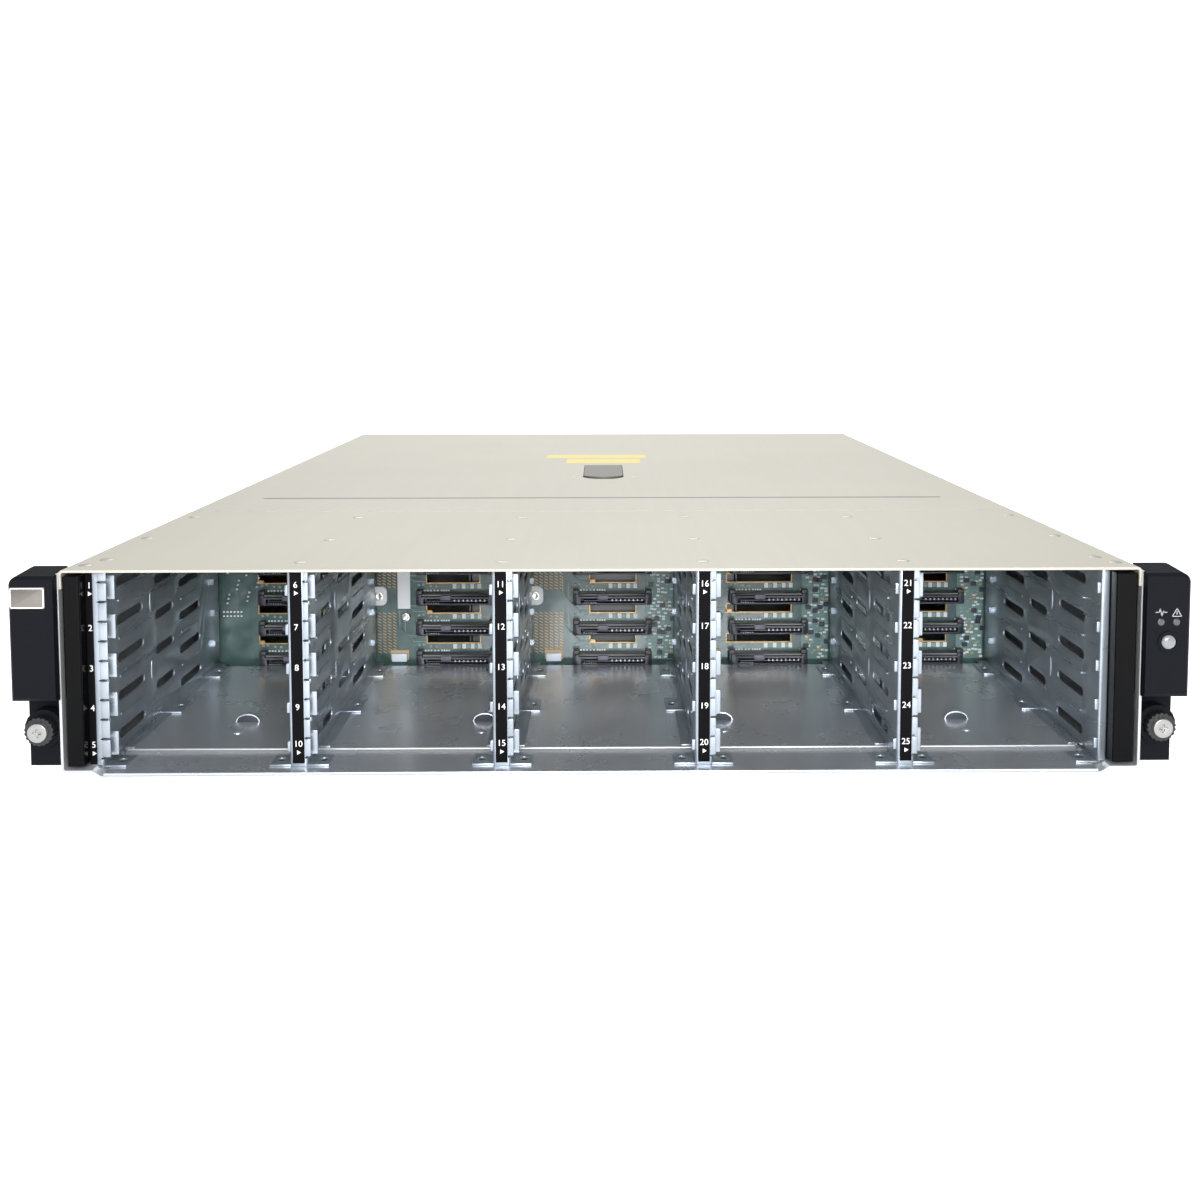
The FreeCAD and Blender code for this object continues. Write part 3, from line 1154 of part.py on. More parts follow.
# ---------------------------------------------------------------- all nodes
def all_nodes():
    """Every sub-part by the name of its node."""
    nodes = {
        "base_pan": base_pan(),
        "front_top_cover": front_top_cover(),
        "rear_cover": rear_cover(),
        "cover_latch": cover_latch(),
        "latch_rivets": latch_rivets(),
        "top_rivets": top_rivets(),
        "cage_floor": cage_floor(),
        "cage_wall_left": cage_wall_left(),
        "cage_wall_right": cage_wall_right(),
        "bay_label_strips": bay_label_strips(),
        "side_filler_left": side_filler(-WALL_INNER - LEFT_WALL_FRONT, -FILLER_OUTER),
        "side_filler_right": side_filler(WALL_INNER + RIGHT_WALL_FRONT, FILLER_OUTER),
        "drive_backplane": drive_backplane(),
        "drive_connectors": drive_connectors(),
        "backplane_screws": backplane_screws(),
        "module_sockets": module_sockets(),
        "ear_bezel_left": ear_bezel_left(),
        "ear_bezel_right": ear_bezel_right(),
        "status_lenses": status_lenses(),
        "locate_button": locate_button(),
        "power_boards": power_boards(),
        "bus_bars": bus_bars(),
    }
    for number, centre in enumerate(DIVIDER_CENTRES, start=1):
        nodes[f"divider_{number}"] = divider(centre)
    pairs = {
        "ear_flange": ear_flange(),
        "thumb_boss": thumb_boss(),
        "thumb_ring": thumb_ring(),
        "thumbscrew": thumbscrew(),
        "partition_outer": partition_outer(),
        "partition_inner": partition_inner(),
        "psu_case": psu_case(),
        "psu_inlet": psu_inlet(),
        "psu_handle": psu_handle(),
        "psu_pawl": release_pawl(PSU_MID),
        "fan_case": fan_case(),
        "fan_rotor": fan_rotor(),
        "fan_guard": fan_guard(),
        "fan_pawl": release_pawl(FAN_MID_X),
    }
    for name, shape in pairs.items():
        nodes[f"{name}_right"] = shape
        nodes[f"{name}_left"] = mirrored(shape)
    for level in ("lower", "upper"):
        nodes[f"io_module_{level}"] = io_module(level)
        nodes[f"io_ports_{level}"] = io_ports(level)
        nodes[f"io_lever_{level}"] = io_lever(level)
    return nodes


def main():
    """Write one STEP file for each node."""
    os.makedirs("parts", exist_ok=True)
    for name, shape in all_nodes().items():
        shape.exportStep(f"parts/{name}.step")
        print(name, len(shape.Solids), shape.isValid(), round(shape.Volume))


main()
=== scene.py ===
"""Dresses the two-unit disk shelf: one class for each sub-assembly, all in the CAD model's frame.

Sizes in the classes are millimetres in the row frame, with the bays open towards -Y, and are turned
into Blender's metres as each mesh is made.  Positions come from the boxes of the CAD nodes.
"""

import json
import logging
import math
from collections.abc import Callable, Iterable
from dataclasses import dataclass, field
from enum import Enum

import bpy
from mathutils import Matrix, Vector


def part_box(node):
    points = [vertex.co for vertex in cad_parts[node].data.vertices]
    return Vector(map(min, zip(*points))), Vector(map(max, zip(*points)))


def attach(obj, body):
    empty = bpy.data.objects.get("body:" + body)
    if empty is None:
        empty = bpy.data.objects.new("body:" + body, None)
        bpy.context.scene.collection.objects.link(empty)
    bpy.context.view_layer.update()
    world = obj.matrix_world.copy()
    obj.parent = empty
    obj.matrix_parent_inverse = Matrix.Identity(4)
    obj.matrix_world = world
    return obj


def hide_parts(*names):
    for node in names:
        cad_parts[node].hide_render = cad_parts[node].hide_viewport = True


LOG = logging.getLogger("disk_shelf")
MM = 0.001

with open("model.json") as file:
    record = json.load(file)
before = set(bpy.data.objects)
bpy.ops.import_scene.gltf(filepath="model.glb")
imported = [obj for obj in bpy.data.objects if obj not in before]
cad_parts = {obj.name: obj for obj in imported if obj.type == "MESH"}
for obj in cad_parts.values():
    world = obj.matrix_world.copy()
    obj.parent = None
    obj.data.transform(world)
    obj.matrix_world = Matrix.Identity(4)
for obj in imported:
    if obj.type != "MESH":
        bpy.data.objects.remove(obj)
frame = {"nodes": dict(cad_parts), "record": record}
BODY_OF = {node: body for body, nodes in frame["record"]["behaviour"]["bodies"].items() for node in nodes}

Span = tuple[float, float]
Point = tuple[float, float, float]
Piece = bpy.types.Object


class Axis(Enum):
    """Direction that a round or flat piece faces."""

    X = (0.0, math.pi / 2, 0.0)
    Y = (math.pi / 2, 0.0, 0.0)
    Z = (0.0, 0.0, 0.0)


# ------------------------------------------------------------------------------------ measuring
@dataclass(frozen=True)
class Extent:
    """Box of a CAD node at rest, in millimetres."""

    low: Vector
    high: Vector

    @classmethod
    def of(cls, node: str) -> "Extent":
        """Box of one node.

        Args:
            node: Name of the CAD node.

        Returns:
            Its lowest and highest corner in millimetres.
        """
        low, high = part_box(node)
        return cls(Vector(low) / MM, Vector(high) / MM)

    @property
    def centre(self) -> Vector:
        """Middle of the box."""
        return (self.low + self.high) / 2


# ------------------------------------------------------------------------------------ modelling
def only(*pieces: Piece) -> None:
    """Selects these pieces and nothing else, the first one active.

    Args:
        pieces: Objects to select.
    """
    bpy.ops.object.select_all(action="DESELECT")
    for piece in pieces:
        piece.select_set(True)
    bpy.context.view_layer.objects.active = pieces[0]


def settle(name: str) -> Piece:
    """Names the active object and puts its place into its mesh.

    Args:
        name: Name of the piece.

    Returns:
        The piece, at the origin and unturned.
    """
    piece = bpy.context.object
    piece.name = name
    piece.data.name = name
    bpy.ops.object.transform_apply(location=True, rotation=True, scale=True)
    return piece


def block(name: str, x: Span, y: Span, z: Span) -> Piece:
    """Adds a box between two limits on each axis.

    Args:
        name: Name of the piece.
        x: Limits along X in millimetres, in either order.
        y: Limits along Y.
        z: Limits along Z.

    Returns:
        The box.
    """
    bpy.ops.object.select_all(action="DESELECT")
    centre = [sum(span) / 2 * MM for span in (x, y, z)]
    size = [abs(span[1] - span[0]) * MM for span in (x, y, z)]
    bpy.ops.mesh.primitive_cube_add(size=1, location=centre, scale=size)
    return settle(name)


def drum(name: str, centre: Point, radius: float, length: float, axis: Axis, sides: int = 32,
         tip: float | None = None) -> Piece:
    """Adds a cylinder, or a cone where a tip radius is given.

    Args:
        name: Name of the piece.
        centre: Middle of the piece in millimetres.
        radius: Radius in millimetres.
        length: Length along its axis.
        axis: Direction of the axis.
        sides: Number of sides.
        tip: Radius at the far end, if it differs.

    Returns:
        The piece.
    """
    bpy.ops.object.select_all(action="DESELECT")
    place = [value * MM for value in centre]
    bpy.ops.mesh.primitive_cone_add(vertices=sides, radius1=radius * MM,
                                    radius2=(radius if tip is None else tip) * MM, depth=length * MM,
                                    location=place, rotation=axis.value)
    return settle(name)


def ball(name: str, centre: Point, radii: Point, segments: int = 16) -> Piece:
    """Adds an ellipsoid.

    Args:
        name: Name of the piece.
        centre: Middle in millimetres.
        radii: Half sizes along the three axes.
        segments: Faces round it.

    Returns:
        The ellipsoid.
    """
    bpy.ops.object.select_all(action="DESELECT")
    bpy.ops.mesh.primitive_uv_sphere_add(segments=segments, ring_count=segments // 2, radius=1,
                                         location=[value * MM for value in centre],
                                         scale=[value * MM for value in radii])
    return settle(name)


def hoop(name: str, centre: Point, radius: float, thickness: float, axis: Axis, sides: int = 48) -> Piece:
    """Adds a round ring.

    Args:
        name: Name of the piece.
        centre: Middle in millimetres.
        radius: Radius of its line.
        thickness: Radius of its wire.
        axis: Direction that the ring faces.
        sides: Faces round the ring.

    Returns:
        The ring.
    """
    bpy.ops.object.select_all(action="DESELECT")
    bpy.ops.mesh.primitive_torus_add(major_segments=sides, minor_segments=8, major_radius=radius * MM,
                                     minor_radius=thickness * MM, rotation=axis.value,
                                     location=[value * MM for value in centre])
    return settle(name)


def join(name: str, pieces: Iterable[Piece]) -> Piece:
    """Joins pieces into one object.

    Args:
        name: Name of the result.
        pieces: Objects to join; they are used up.

    Returns:
        The joined piece.
    """
    pieces = list(pieces)
    if len(pieces) > 1:
        only(*pieces)
        bpy.ops.object.join()
    pieces[0].name = name
    pieces[0].data.name = name
    return pieces[0]


def cut(piece: Piece, cutter: Piece) -> Piece:
    """Takes a cutter out of a piece and deletes the cutter.

    Args:
        piece: The piece to cut.
        cutter: Closed shapes that don't touch each other.

    Returns:
        The piece.
    """
    only(piece)
    modifier = piece.modifiers.new("cut", "BOOLEAN")
    modifier.operation = "DIFFERENCE"
    modifier.solver = "EXACT"
    modifier.object = cutter
    bpy.ops.object.modifier_apply(modifier=modifier.name)
    bpy.data.objects.remove(cutter, do_unlink=True)
    return piece


def soften(piece: Piece, width: float, segments: int = 2, angle: float = 40.0) -> Piece:
    """Rounds the sharp edges of a piece and shades it smooth between them.

    Args:
        piece: The piece.
        width: Width of the rounding in millimetres.
        segments: Faces across it.
        angle: Least angle in degrees that counts as an edge.

    Returns:
        The piece.
    """
    only(piece)
    modifier = piece.modifiers.new("edges", "BEVEL")
    modifier.width = width * MM
    modifier.segments = segments
    modifier.limit_method = "ANGLE"
    modifier.angle_limit = math.radians(angle)
    modifier.use_clamp_overlap = True
    bpy.ops.object.modifier_apply(modifier=modifier.name)
    bpy.ops.object.shade_smooth_by_angle(angle=math.radians(angle))
    return piece


def copies(piece: Piece, name: Callable[[int], str], shifts: Iterable[Point]) -> list[Piece]:
    """Copies a piece, each copy with a mesh of its own.

    Args:
        piece: The model, which is kept as it is.
        name: Gives the name of each copy from its number.
        shifts: Where each copy goes, from the model, in millimetres.

    Returns:
        The copies.
    """
    made = []
    for number, shift in enumerate(shifts):
        copy = piece.copy()
        copy.data = piece.data.copy()
        copy.data.transform(Matrix.Translation(Vector(shift) * MM))
        copy.name = copy.data.name = name(number)
        bpy.context.scene.collection.objects.link(copy)
        made.append(copy)
    return made


def repeat(piece: Piece, name: str, shifts: Iterable[Point]) -> Piece:
    """Copies a piece to several places and joins the copies, using the model up.

    Args:
        piece: The model.
        name: Name of the result.
        shifts: Where each copy goes, from the model, in millimetres.

    Returns:
        One object with all the copies.
    """
    made = copies(piece, lambda number: f"{name}_{number}", shifts)
    bpy.data.objects.remove(piece, do_unlink=True)
    return join(name, made)


def flipped(piece: Piece, name: str) -> Piece:
    """Copies a piece to the other side of the shelf.

    Args:
        piece: The piece on one side, which is kept.
        name: Name of the copy.

    Returns:
        The mirrored copy, with its faces outward.
    """
    copy = copies(piece, lambda number: name, [(0.0, 0.0, 0.0)])[0]
    copy.data.transform(Matrix.Scale(-1, 4, (1, 0, 0)))
    only(copy)
    bpy.ops.object.mode_set(mode="EDIT")
    bpy.ops.mesh.select_all(action="SELECT")
    bpy.ops.mesh.normals_make_consistent(inside=False)
    bpy.ops.object.mode_set(mode="OBJECT")
    return copy


def lettering(name: str, text: str, height: float, place: Point) -> Piece:
    """Raised figures that face the front, centred on a place.

    Args:
        name: Name of the piece.
        text: The figures.
        height: Height of the type in millimetres.
        place: Middle of the figures.

    Returns:
        The figures as a mesh.
    """
    bpy.ops.object.select_all(action="DESELECT")
    bpy.ops.object.text_add(location=[value * MM for value in place], rotation=(math.pi / 2, 0, 0))
    letters = bpy.context.object
    letters.data.body = text
    letters.data.size = height * MM
    letters.data.align_x = "CENTER"
    letters.data.align_y = "CENTER"
    letters.data.extrude = 0.02 * MM
    letters.data.resolution_u = 3
    bpy.ops.object.convert(target="MESH")
    return settle(name)


def refined(node: str, edge: float, angle: float = 40.0) -> Piece:
    """Copy of a CAD node's mesh, merged into clean faces, with rounded edges.

    Args:
        node: Name of the CAD node.
        edge: Width of the rounding in millimetres.
        angle: Least angle in degrees that is rounded.

    Returns:
        The new piece; it doesn't stand for the node until it is dressed.
    """
    source = frame["nodes"][node]
    piece = source.copy()
    piece.data = source.data.copy()
    piece.parent = None
    piece.matrix_world = Matrix.Identity(4)
    piece.name = piece.data.name = f"{node}_fine"
    bpy.context.scene.collection.objects.link(piece)
    only(piece)
    bpy.ops.object.mode_set(mode="EDIT")
    bpy.ops.mesh.select_all(action="SELECT")
    bpy.ops.mesh.remove_doubles(threshold=2e-6)
    bpy.ops.mesh.dissolve_limited(angle_limit=math.radians(1.0))
    bpy.ops.object.mode_set(mode="OBJECT")
    soften(piece, edge, 2, angle)
    modifier = piece.modifiers.new("flat_faces", "WEIGHTED_NORMAL")
    modifier.keep_sharp = True
    bpy.ops.object.modifier_apply(modifier=modifier.name)
    return piece


# ------------------------------------------------------------------------------------ finishes
def linear(red: int, green: int, blue: int) -> tuple[float, float, float, float]:
    """Scene-linear colour of a display colour.

    Args:
        red: Red from 0 to 255.
        green: Green.
        blue: Blue.

    Returns:
        Colour with full opacity.
    """
    def curve(value: int) -> float:
        """Scene-linear value of one channel."""
        share = value / 255
        return share / 12.92 if share <= 0.04045 else ((share + 0.055) / 1.055) ** 2.4

    return curve(red), curve(green), curve(blue), 1.0


@dataclass(frozen=True)
class Finish:
    """A surface finish: a shader with grain and mottling read from Object coordinates."""

    name: str
    slot: str
    colour: tuple[float, float, float, float]
    roughness: float = 0.5
    metallic: float = 0.0
    grain: Point = (400.0, 400.0, 400.0)
    grain_depth: float = 0.0
    mottle: float = 0.0
    mottle_scale: float = 18.0
    rough_spread: float = 0.0
    coat: float = 0.0
    clear: float = 0.0
    shine: float = 0.5

    def material(self) -> bpy.types.Material:
        """Builds the material once and gives it back afterwards.

        Returns:
            The material of this finish.
        """
        found = bpy.data.materials.get(self.name)
        if found:
            return found
        made = bpy.data.materials.new(self.name)
        made.use_nodes = True
        nodes, links = made.node_tree.nodes, made.node_tree.links
        shader = nodes["Principled BSDF"]
        shader.inputs["Base Color"].default_value = self.colour
        shader.inputs["Roughness"].default_value = self.roughness
        shader.inputs["Metallic"].default_value = self.metallic
        shader.inputs["Coat Weight"].default_value = self.coat
        shader.inputs["Coat Roughness"].default_value = 0.08
        shader.inputs["Transmission Weight"].default_value = self.clear
        shader.inputs["Specular IOR Level"].default_value = self.shine
        if not (self.grain_depth or self.mottle or self.rough_spread):
            return made
        place = nodes.new("ShaderNodeTexCoord")
        if self.mottle:
            cloud = nodes.new("ShaderNodeTexNoise")
            cloud.inputs["Scale"].default_value = self.mottle_scale
            cloud.inputs["Detail"].default_value = 5.0
            ramp = nodes.new("ShaderNodeValToRGB")
            for element, factor in zip(ramp.color_ramp.elements, (1 - self.mottle, 1 + self.mottle)):
                element.color = [min(1.0, value * factor) for value in self.colour[:3]] + [1.0]
            ramp.color_ramp.elements[0].position = 0.35
            ramp.color_ramp.elements[1].position = 0.65
            links.new(place.outputs["Object"], cloud.inputs["Vector"])
            links.new(cloud.outputs["Fac"], ramp.inputs["Fac"])
            links.new(ramp.outputs["Color"], shader.inputs["Base Color"])
        stretch = nodes.new("ShaderNodeMapping")
        stretch.inputs["Scale"].default_value = self.grain
        links.new(place.outputs["Object"], stretch.inputs["Vector"])
        noise = nodes.new("ShaderNodeTexNoise")
        noise.inputs["Scale"].default_value = 1.0
        noise.inputs["Detail"].default_value = 4.0
        links.new(stretch.outputs["Vector"], noise.inputs["Vector"])
        if self.grain_depth:
            bump = nodes.new("ShaderNodeBump")
            bump.inputs["Strength"].default_value = self.grain_depth
            bump.inputs["Distance"].default_value = 0.0001
            links.new(noise.outputs["Fac"], bump.inputs["Height"])
            links.new(bump.outputs["Normal"], shader.inputs["Normal"])
        if self.rough_spread:
            spread = nodes.new("ShaderNodeMapRange")
            spread.inputs["To Min"].default_value = max(0.0, self.roughness - self.rough_spread)
            spread.inputs["To Max"].default_value = min(1.0, self.roughness + self.rough_spread)
            links.new(noise.outputs["Fac"], spread.inputs["Value"])
            links.new(spread.outputs["Result"], shader.inputs["Roughness"])
        return made


class Finishes:
    """Every finish of the shelf."""

    LID = Finish("lid_zinc", "lid_steel", linear(186, 182, 169), roughness=0.62, metallic=0.12,
                 grain=(260.0, 12.0, 60.0), grain_depth=0.03, mottle=0.02, mottle_scale=6.0,
                 rough_spread=0.05)
    PAN = Finish("pan_zinc", "pan_steel", linear(196, 198, 200), roughness=0.42, metallic=0.5,
                 grain=(60.0, 60.0, 200.0), grain_depth=0.03, mottle=0.03, mottle_scale=20.0,
                 rough_spread=0.06)
    CAGE = Finish("cage_zinc", "cage_steel", linear(172, 181, 190), roughness=0.3, metallic=0.75,
                  grain=(90.0, 14.0, 240.0), grain_depth=0.05, mottle=0.12, mottle_scale=36.0,
                  rough_spread=0.1)
    FLOOR = Finish("floor_zinc", "cage_steel", linear(204, 209, 216), roughness=0.27, metallic=0.72,
                   grain=(40.0, 40.0, 40.0), grain_depth=0.01, mottle=0.035, mottle_scale=30.0,
                   rough_spread=0.02)
    # painted shade: dark pieces laid where the floor shows only shade, in the dome mouths and under the
    # holes of the feet
    SHADE = Finish("painted_hole_shade", "cage_steel", linear(44, 50, 58), roughness=0.6)
    # painted highlight: the floor's steel made lighter into the bright line along its front fold
    FOLD = Finish("fold_painted_highlight", "cage_steel", linear(232, 234, 236), roughness=0.3, metallic=0.6)
    # bright steel of nuts, screws, rings and guards; on the seam strip of the front lid it is a painted
    # highlight
    BRIGHT = Finish("bright_zinc", "fastener_steel", linear(214, 212, 206), roughness=0.28, metallic=0.9)
    RIVET = Finish("rivet_zinc", "fastener_steel", linear(170, 167, 155), roughness=0.36, metallic=0.3)
    FLANGE = Finish("flange_paint", "ear_black", linear(20, 21, 25), roughness=0.5,
                    grain=(900.0, 900.0, 900.0), grain_depth=0.25, shine=0.05)
    CAP = Finish("cap_plastic", "cap_black", linear(21, 22, 26), roughness=0.55,
                 grain=(1500.0, 1500.0, 1500.0), grain_depth=0.35, shine=0.05)
    FILLER = Finish("filler_gloss", "filler_black", linear(10, 10, 11), roughness=0.14, shine=0.08)
    LABEL = Finish("label_film", "label_black", linear(14, 14, 16), roughness=0.5, shine=0.04)
    MARK = Finish("print_white", "label_black", linear(236, 236, 232), roughness=0.6)
    BADGE = Finish("badge_plate", "cap_black", linear(128, 124, 118), roughness=0.3, metallic=0.7,
                   grain=(40.0, 40.0, 1200.0), grain_depth=0.05, rough_spread=0.08)
    BOARD = Finish("solder_mask", "board_green", linear(66, 90, 86), roughness=0.3,
                   grain=(700.0, 700.0, 700.0), grain_depth=0.1, mottle=0.22, mottle_scale=160.0, coat=0.4)
    GOLD = Finish("board_gold", "board_green", linear(206, 164, 104), roughness=0.4, metallic=0.4)
    PALE = Finish("part_pale", "board_green", linear(232, 238, 238), roughness=0.4)
    TEAL = Finish("part_teal", "board_green", linear(138, 168, 164), roughness=0.4)
    CHIP = Finish("chip_black", "board_green", linear(46, 50, 64), roughness=0.35)
    TAN = Finish("part_tan", "board_green", linear(196, 172, 132), roughness=0.5)
    POUR = Finish("board_pour", "board_green", linear(112, 142, 138), roughness=0.3)
    DARK_TRACK = Finish("track_dark", "board_green", linear(34, 50, 48), roughness=0.4)
    STRIP = Finish("blank_strip", "board_green", linear(248, 249, 250), roughness=0.5)
    PALE_BLUE = Finish("socket_pale", "board_green", linear(228, 238, 250), roughness=0.4)
    SOCKET = Finish("socket_plastic", "connector_black", linear(46, 47, 54), roughness=0.34,
                    grain=(800.0,) * 3, grain_depth=0.12)
    KEY = Finish("key_plastic", "connector_black", linear(112, 110, 126), roughness=0.4)
    TOOTH = Finish("tooth_tin", "connector_black", linear(190, 192, 198), roughness=0.4, metallic=0.3)
    ICON = Finish("print_grey", "cap_black", linear(158, 160, 166), roughness=0.6)
    COLLAR = Finish("collar_plastic", "cap_black", linear(60, 62, 66), roughness=0.3, shine=0.4)
    KNOB = Finish("knob_plastic", "knob_black", linear(28, 28, 31), roughness=0.4, grain=(900.0,) * 3,
                  grain_depth=0.2)
    SCREW = Finish("screw_steel", "knob_black", linear(166, 166, 163), roughness=0.34, metallic=0.85)
    BUTTON = Finish("button_clear", "button_grey", linear(150, 156, 160), roughness=0.16, coat=0.5,
                    clear=0.35)
    LENS = Finish("lens_smoke", "lens_dark", linear(62, 66, 68), roughness=0.15, coat=0.5)
    COPPER = Finish("bare_copper", "copper", linear(196, 128, 88), roughness=0.3, metallic=0.95)
    MODULE = Finish("module_zinc", "module_steel", linear(184, 186, 188), roughness=0.38, metallic=0.85,
                    grain=(60.0, 60.0, 220.0), grain_depth=0.03, mottle=0.03, mottle_scale=20.0,
                    rough_spread=0.06)
    INLET = Finish("inlet_plastic", "inlet_black", linear(24, 24, 26), roughness=0.45)
    HANDLE = Finish("handle_paint", "handle_black", linear(30, 30, 32), roughness=0.4, grain=(900.0,) * 3,
                    grain_depth=0.2)
    PAWL = Finish("pawl_plastic", "pawl_blue", linear(46, 92, 150), roughness=0.35)
    FAN = Finish("fan_plastic", "fan_black", linear(28, 28, 30), roughness=0.45)
    PORT = Finish("port_nickel", "port_steel", linear(196, 192, 182), roughness=0.3, metallic=0.9)
    SOCKET_REAR = Finish("rear_socket_plastic", "socket_black", linear(26, 26, 28), roughness=0.45)
    STRIPE = Finish("stripe_yellow", "lid_steel", linear(232, 218, 146), roughness=0.6, shine=0.1)
    # painted shade: the lid's steel darkened for the shade that falls on the latch tray and into the groove
    LATCH = Finish("lid_zinc_painted_shade", "lid_steel", linear(112, 108, 99), roughness=0.5, metallic=0.3,
                   grain=(260.0, 12.0, 60.0), grain_depth=0.03)
    LIGHT = Finish("lamp_green", "module_steel", linear(90, 170, 110), roughness=0.3)


def dress(piece: Piece, finish: Finish, node: str, stands_for: bool = False) -> Piece:
    """Gives a piece its finish, its body and, where it takes a CAD node's place, that node.

    Args:
        piece: The finished piece.
        finish: Its finish.
        node: CAD node that it belongs to.
        stands_for: True where the piece is shown instead of the node.

    Returns:
        The piece.
    """
    piece.data.materials.clear()
    piece.data.materials.append(finish.material())
    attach(piece, BODY_OF[node])
    if stands_for:
        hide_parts(node)
    LOG.info("%s rides with %s", piece.name, node)
    return piece


# ------------------------------------------------------------------------------------ shared places
CASE = Extent.of("base_pan")
FRONT = CASE.low.y
REAR = CASE.high.y
LID_TOP = Extent.of("front_top_cover").high.z
DIVIDERS = [Extent.of(f"divider_{number}").centre.x for number in range(1, 5)]
COLUMN_PITCH = DIVIDERS[1] - DIVIDERS[0]
COLUMNS = [x - COLUMN_PITCH / 2 for x in DIVIDERS] + [DIVIDERS[-1] + COLUMN_PITCH / 2]
SIDES = {"left": -1, "right": 1}


def deep(distance: float) -> float:
    """Y of a place that lies this far behind the front edge of the base pan."""
    return FRONT + distance


def move_beyond(piece: Piece, axis: int, limit: float, shift: float) -> None:
    """Moves the vertices of a piece that lie past a limit along one axis.

    Args:
        piece: The piece.
        axis: Axis number, 0 for X.
        limit: Place of the limit in millimetres.
        shift: Distance to move them.
    """
    only(piece)
    bpy.ops.object.mode_set(mode="EDIT")
    bpy.ops.mesh.select_mode(type="VERT")
    bpy.ops.mesh.select_all(action="DESELECT")
    bpy.ops.object.mode_set(mode="OBJECT")
    for vertex in piece.data.vertices:
        vertex.select = vertex.co[axis] > limit * MM
    bpy.ops.object.mode_set(mode="EDIT")
    value = [0.0, 0.0, 0.0]
    value[axis] = shift * MM
    bpy.ops.transform.translate(value=value)
    bpy.ops.object.mode_set(mode="OBJECT")


def capsule(name: str, x: Span, y: Span, z: Span, sides: int = 22) -> Piece:
    """Adds a round-ended block that lies along Y, for long holes and ribs in upright sheets.

    Args:
        name: Name of the piece.
        x: Limits through the sheet in millimetres.
        y: Limits end to end.
        z: Limits across.
        sides: Faces round its two ends together, twice an odd number so that none lies on the middle.

    Returns:
        The block.
    """
    radius = abs(z[1] - z[0]) / 2
    start = min(y) + radius
    piece = drum(name, (sum(x) / 2, start, sum(z) / 2), radius, abs(x[1] - x[0]), Axis.X, sides)
    move_beyond(piece, 1, start, abs(y[1] - y[0]) - 2 * radius)
    return piece


def round_edges(piece: Piece, axis: int, radius: float, front: float | None = None) -> Piece:
    """Rounds the edges of a piece that run along one axis, like a sheet turned round them.

    Args:
        piece: The piece.
        axis: Axis number that the edges run along, 0 for X.
        radius: Outer radius of the turn.
        front: Y of the plane that the edges must lie in, or None for all of them.

    Returns:
        The piece.
    """
    only(piece)
    bpy.ops.object.mode_set(mode="EDIT")
    bpy.ops.mesh.select_mode(type="EDGE")
    bpy.ops.mesh.select_all(action="DESELECT")
    bpy.ops.object.mode_set(mode="OBJECT")
    for edge in piece.data.edges:
        low, high = (piece.data.vertices[number].co for number in edge.vertices)
        run = high - low
        in_plane = front is None or max(low.y, high.y) < (front + 0.01) * MM
        edge.select = in_plane and abs(run[axis]) > 0.99 * run.length
    bpy.ops.object.mode_set(mode="EDIT")
    bpy.ops.mesh.bevel(offset=radius * MM, segments=4)
    bpy.ops.object.mode_set(mode="OBJECT")
    return piece


def stroke(middle: Span, skin: Span, points: tuple[Span, ...], half: float = 0.17) -> list[Piece]:
    """Thin line from point to point on an upright face.

    Args:
        middle: X and Z that the points are measured from, in millimetres.
        skin: Limits of the line along Y.
        points: X and Z of each point.
        half: Half of its width.

    Returns:
        One thin bar for each part of the line.
    """
    bars = []
    for (x0, z0), (x1, z1) in zip(points, points[1:]):
        x, z = middle[0] + (x0 + x1) / 2, middle[1] + (z0 + z1) / 2
        length = math.hypot(x1 - x0, z1 - z0) + half
        bar = block("stroke", (x - length / 2, x + length / 2), skin, (z - half, z + half))
        only(bar)
        bpy.ops.transform.rotate(value=math.atan2(z1 - z0, x1 - x0), orient_axis="Y",
                                 center_override=(x * MM, skin[0] * MM, z * MM))
        bpy.ops.object.transform_apply(location=True, rotation=True, scale=True)
        bars.append(bar)
    return bars


